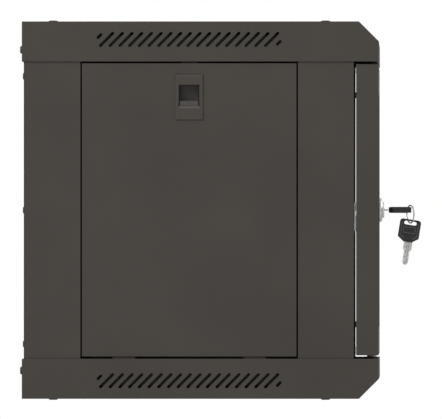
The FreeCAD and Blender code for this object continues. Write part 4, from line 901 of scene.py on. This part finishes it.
# %% Place the camera
VIEW_WIDTH = 433.2 * MM    # what the camera sees across, at the near side of the cabinet
LENS, SENSOR = 1500.0, 36.0     # focal length and width of the sensor, in millimetres
OFF_LINE = -60.0 * MM      # from the gap's middle, so that the thread is thinner than the gap
ABOVE_LINE = 74.0 * MM     # and from the middle of the gap under the door
AIM_SHIFT = 0.6 * MM       # to the door's side of the middle, and up
FARTHEST = 100.0           # nothing further away than this is drawn
low, high = cad_box
frame_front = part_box("side_frame_left")[0].y
door_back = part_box("door_frame")[1].y
door_foot = (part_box("door_frame")[0].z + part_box("bottom_panel")[1].z) / 2.0
aim = Vector((low.x, (low.y + high.y) / 2.0 - AIM_SHIFT, AIM_SHIFT))

camera = bpy.data.objects.new("camera", bpy.data.cameras.new("camera"))
bpy.context.scene.collection.objects.link(camera)
bpy.context.scene.camera = camera
camera.data.lens = LENS
camera.data.sensor_width = SENSOR
camera.data.clip_end = FARTHEST
distance = VIEW_WIDTH * LENS / SENSOR
camera.location = (low.x - distance, (frame_front + door_back) / 2.0 + OFF_LINE,
                   door_foot + ABOVE_LINE)
camera.rotation_euler = (aim - camera.location).to_track_quat("-Z", "Y").to_euler()
bpy.context.scene.view_settings.view_transform = "Standard"
print("camera stands", round(distance, 2), "m away")

# %% [markdown]
# ## Light
#
# Nearly all the light comes evenly from everywhere, as in a white tent. Two large soft lamps
# add to it: one high on the left gives the side panel a slight fall-off to the lower right,
# and one in front lights the face of the door. The tent itself is a little dimmer than white
# for everything it lights, but what looks straight at it, also through glass, or sees it
# mirrored, sees plain white.

# %% The white tent
TENT = 0.72                # how bright it is for what it lights
world = bpy.data.worlds.new("white_tent")
bpy.context.scene.world = world
world.use_nodes = True
world.node_tree.nodes.clear()
start = Wire(world.node_tree)
seen = start.node("LightPath", output="Is Camera Ray")
mirrored = start.node("LightPath", output="Is Glossy Ray")
strength = ((seen + mirrored) > 0.5) * (1.0 - TENT) + TENT
background = start.node("Background", {"Color": grey(1.0), "Strength": strength})
start.node("OutputWorld", {"Surface": background})
print("tent at", TENT, "of white")

# %% Two soft lamps
def soft_lamp(name, place, target, size, watts):
    """A round lamp in metres, turned to its target."""
    lamp = bpy.data.objects.new(name, bpy.data.lights.new(name, "AREA"))
    lamp.data.shape = "DISK"
    lamp.data.size = size
    lamp.data.energy = watts
    lamp.location = place
    lamp.rotation_euler = (Vector(target) - Vector(place)).to_track_quat("-Z", "Y").to_euler()
    bpy.context.scene.collection.objects.link(lamp)


soft_lamp("key_lamp", place=(-2.3, 1.3, 1.9), target=aim, size=1.6, watts=45.0)
soft_lamp("front_lamp", place=(0.6, -3.2, 1.6), target=aim, size=1.8, watts=34.0)
print("lamps placed:", len(bpy.data.lights))

# %% [markdown]
# ## The floor
#
# The cabinet hangs on a wall, so the floor is some way below it and only catches its soft
# shadow. Further out the floor fades to plain white for whoever looks at it, while it goes on
# lighting the cabinet from below as a pale floor does.

# %% Lay the floor
FLOOR_DROP = 180.0 * MM
FLOOR_REACH = 60.0         # metres each way
FADE_START, FADE_END = 600.0, 1500.0     # millimetres from the cabinet


def floor_finish():
    """A pale, faintly mottled floor that turns white for the camera as it goes away."""
    material, spot = begin("floor")
    mottle = noise(spot, scale=0.004, detail=3.0)
    base = mottle.step(0.3, 0.7).mix(grey(0.86), grey(0.90))
    paint = spot.node("BsdfPrincipled", {"Base Color": base, "Roughness": 0.8,
                                         "Specular IOR Level": 0.1})
    white = spot.node("Emission", {"Strength": 1.0})
    away = spot.node("VectorMath", {0: spot * (1.0, 1.0, 0.0)}, output="Value", operation="LENGTH")
    seen = spot.node("LightPath", output="Is Camera Ray")
    bare = seen * (away.step(FADE_START, FADE_END) * 0.5 + 0.5)
    faded = spot.node("MixShader", {0: bare, 1: paint, 2: white})
    spot.node("OutputMaterial", {"Surface": faded})
    return material


floor_mesh = bpy.data.meshes.new("floor")
corners = [(-FLOOR_REACH, -FLOOR_REACH), (FLOOR_REACH, -FLOOR_REACH),
           (FLOOR_REACH, FLOOR_REACH), (-FLOOR_REACH, FLOOR_REACH)]
floor_mesh.from_pydata([(x, y, low.z - FLOOR_DROP) for x, y in corners], [], [(0, 1, 2, 3)])
floor_mesh.materials.append(floor_finish())
floor = bpy.data.objects.new("floor", floor_mesh)
bpy.context.scene.collection.objects.link(floor)
print("floor", round(FLOOR_DROP / MM), "mm below the cabinet")
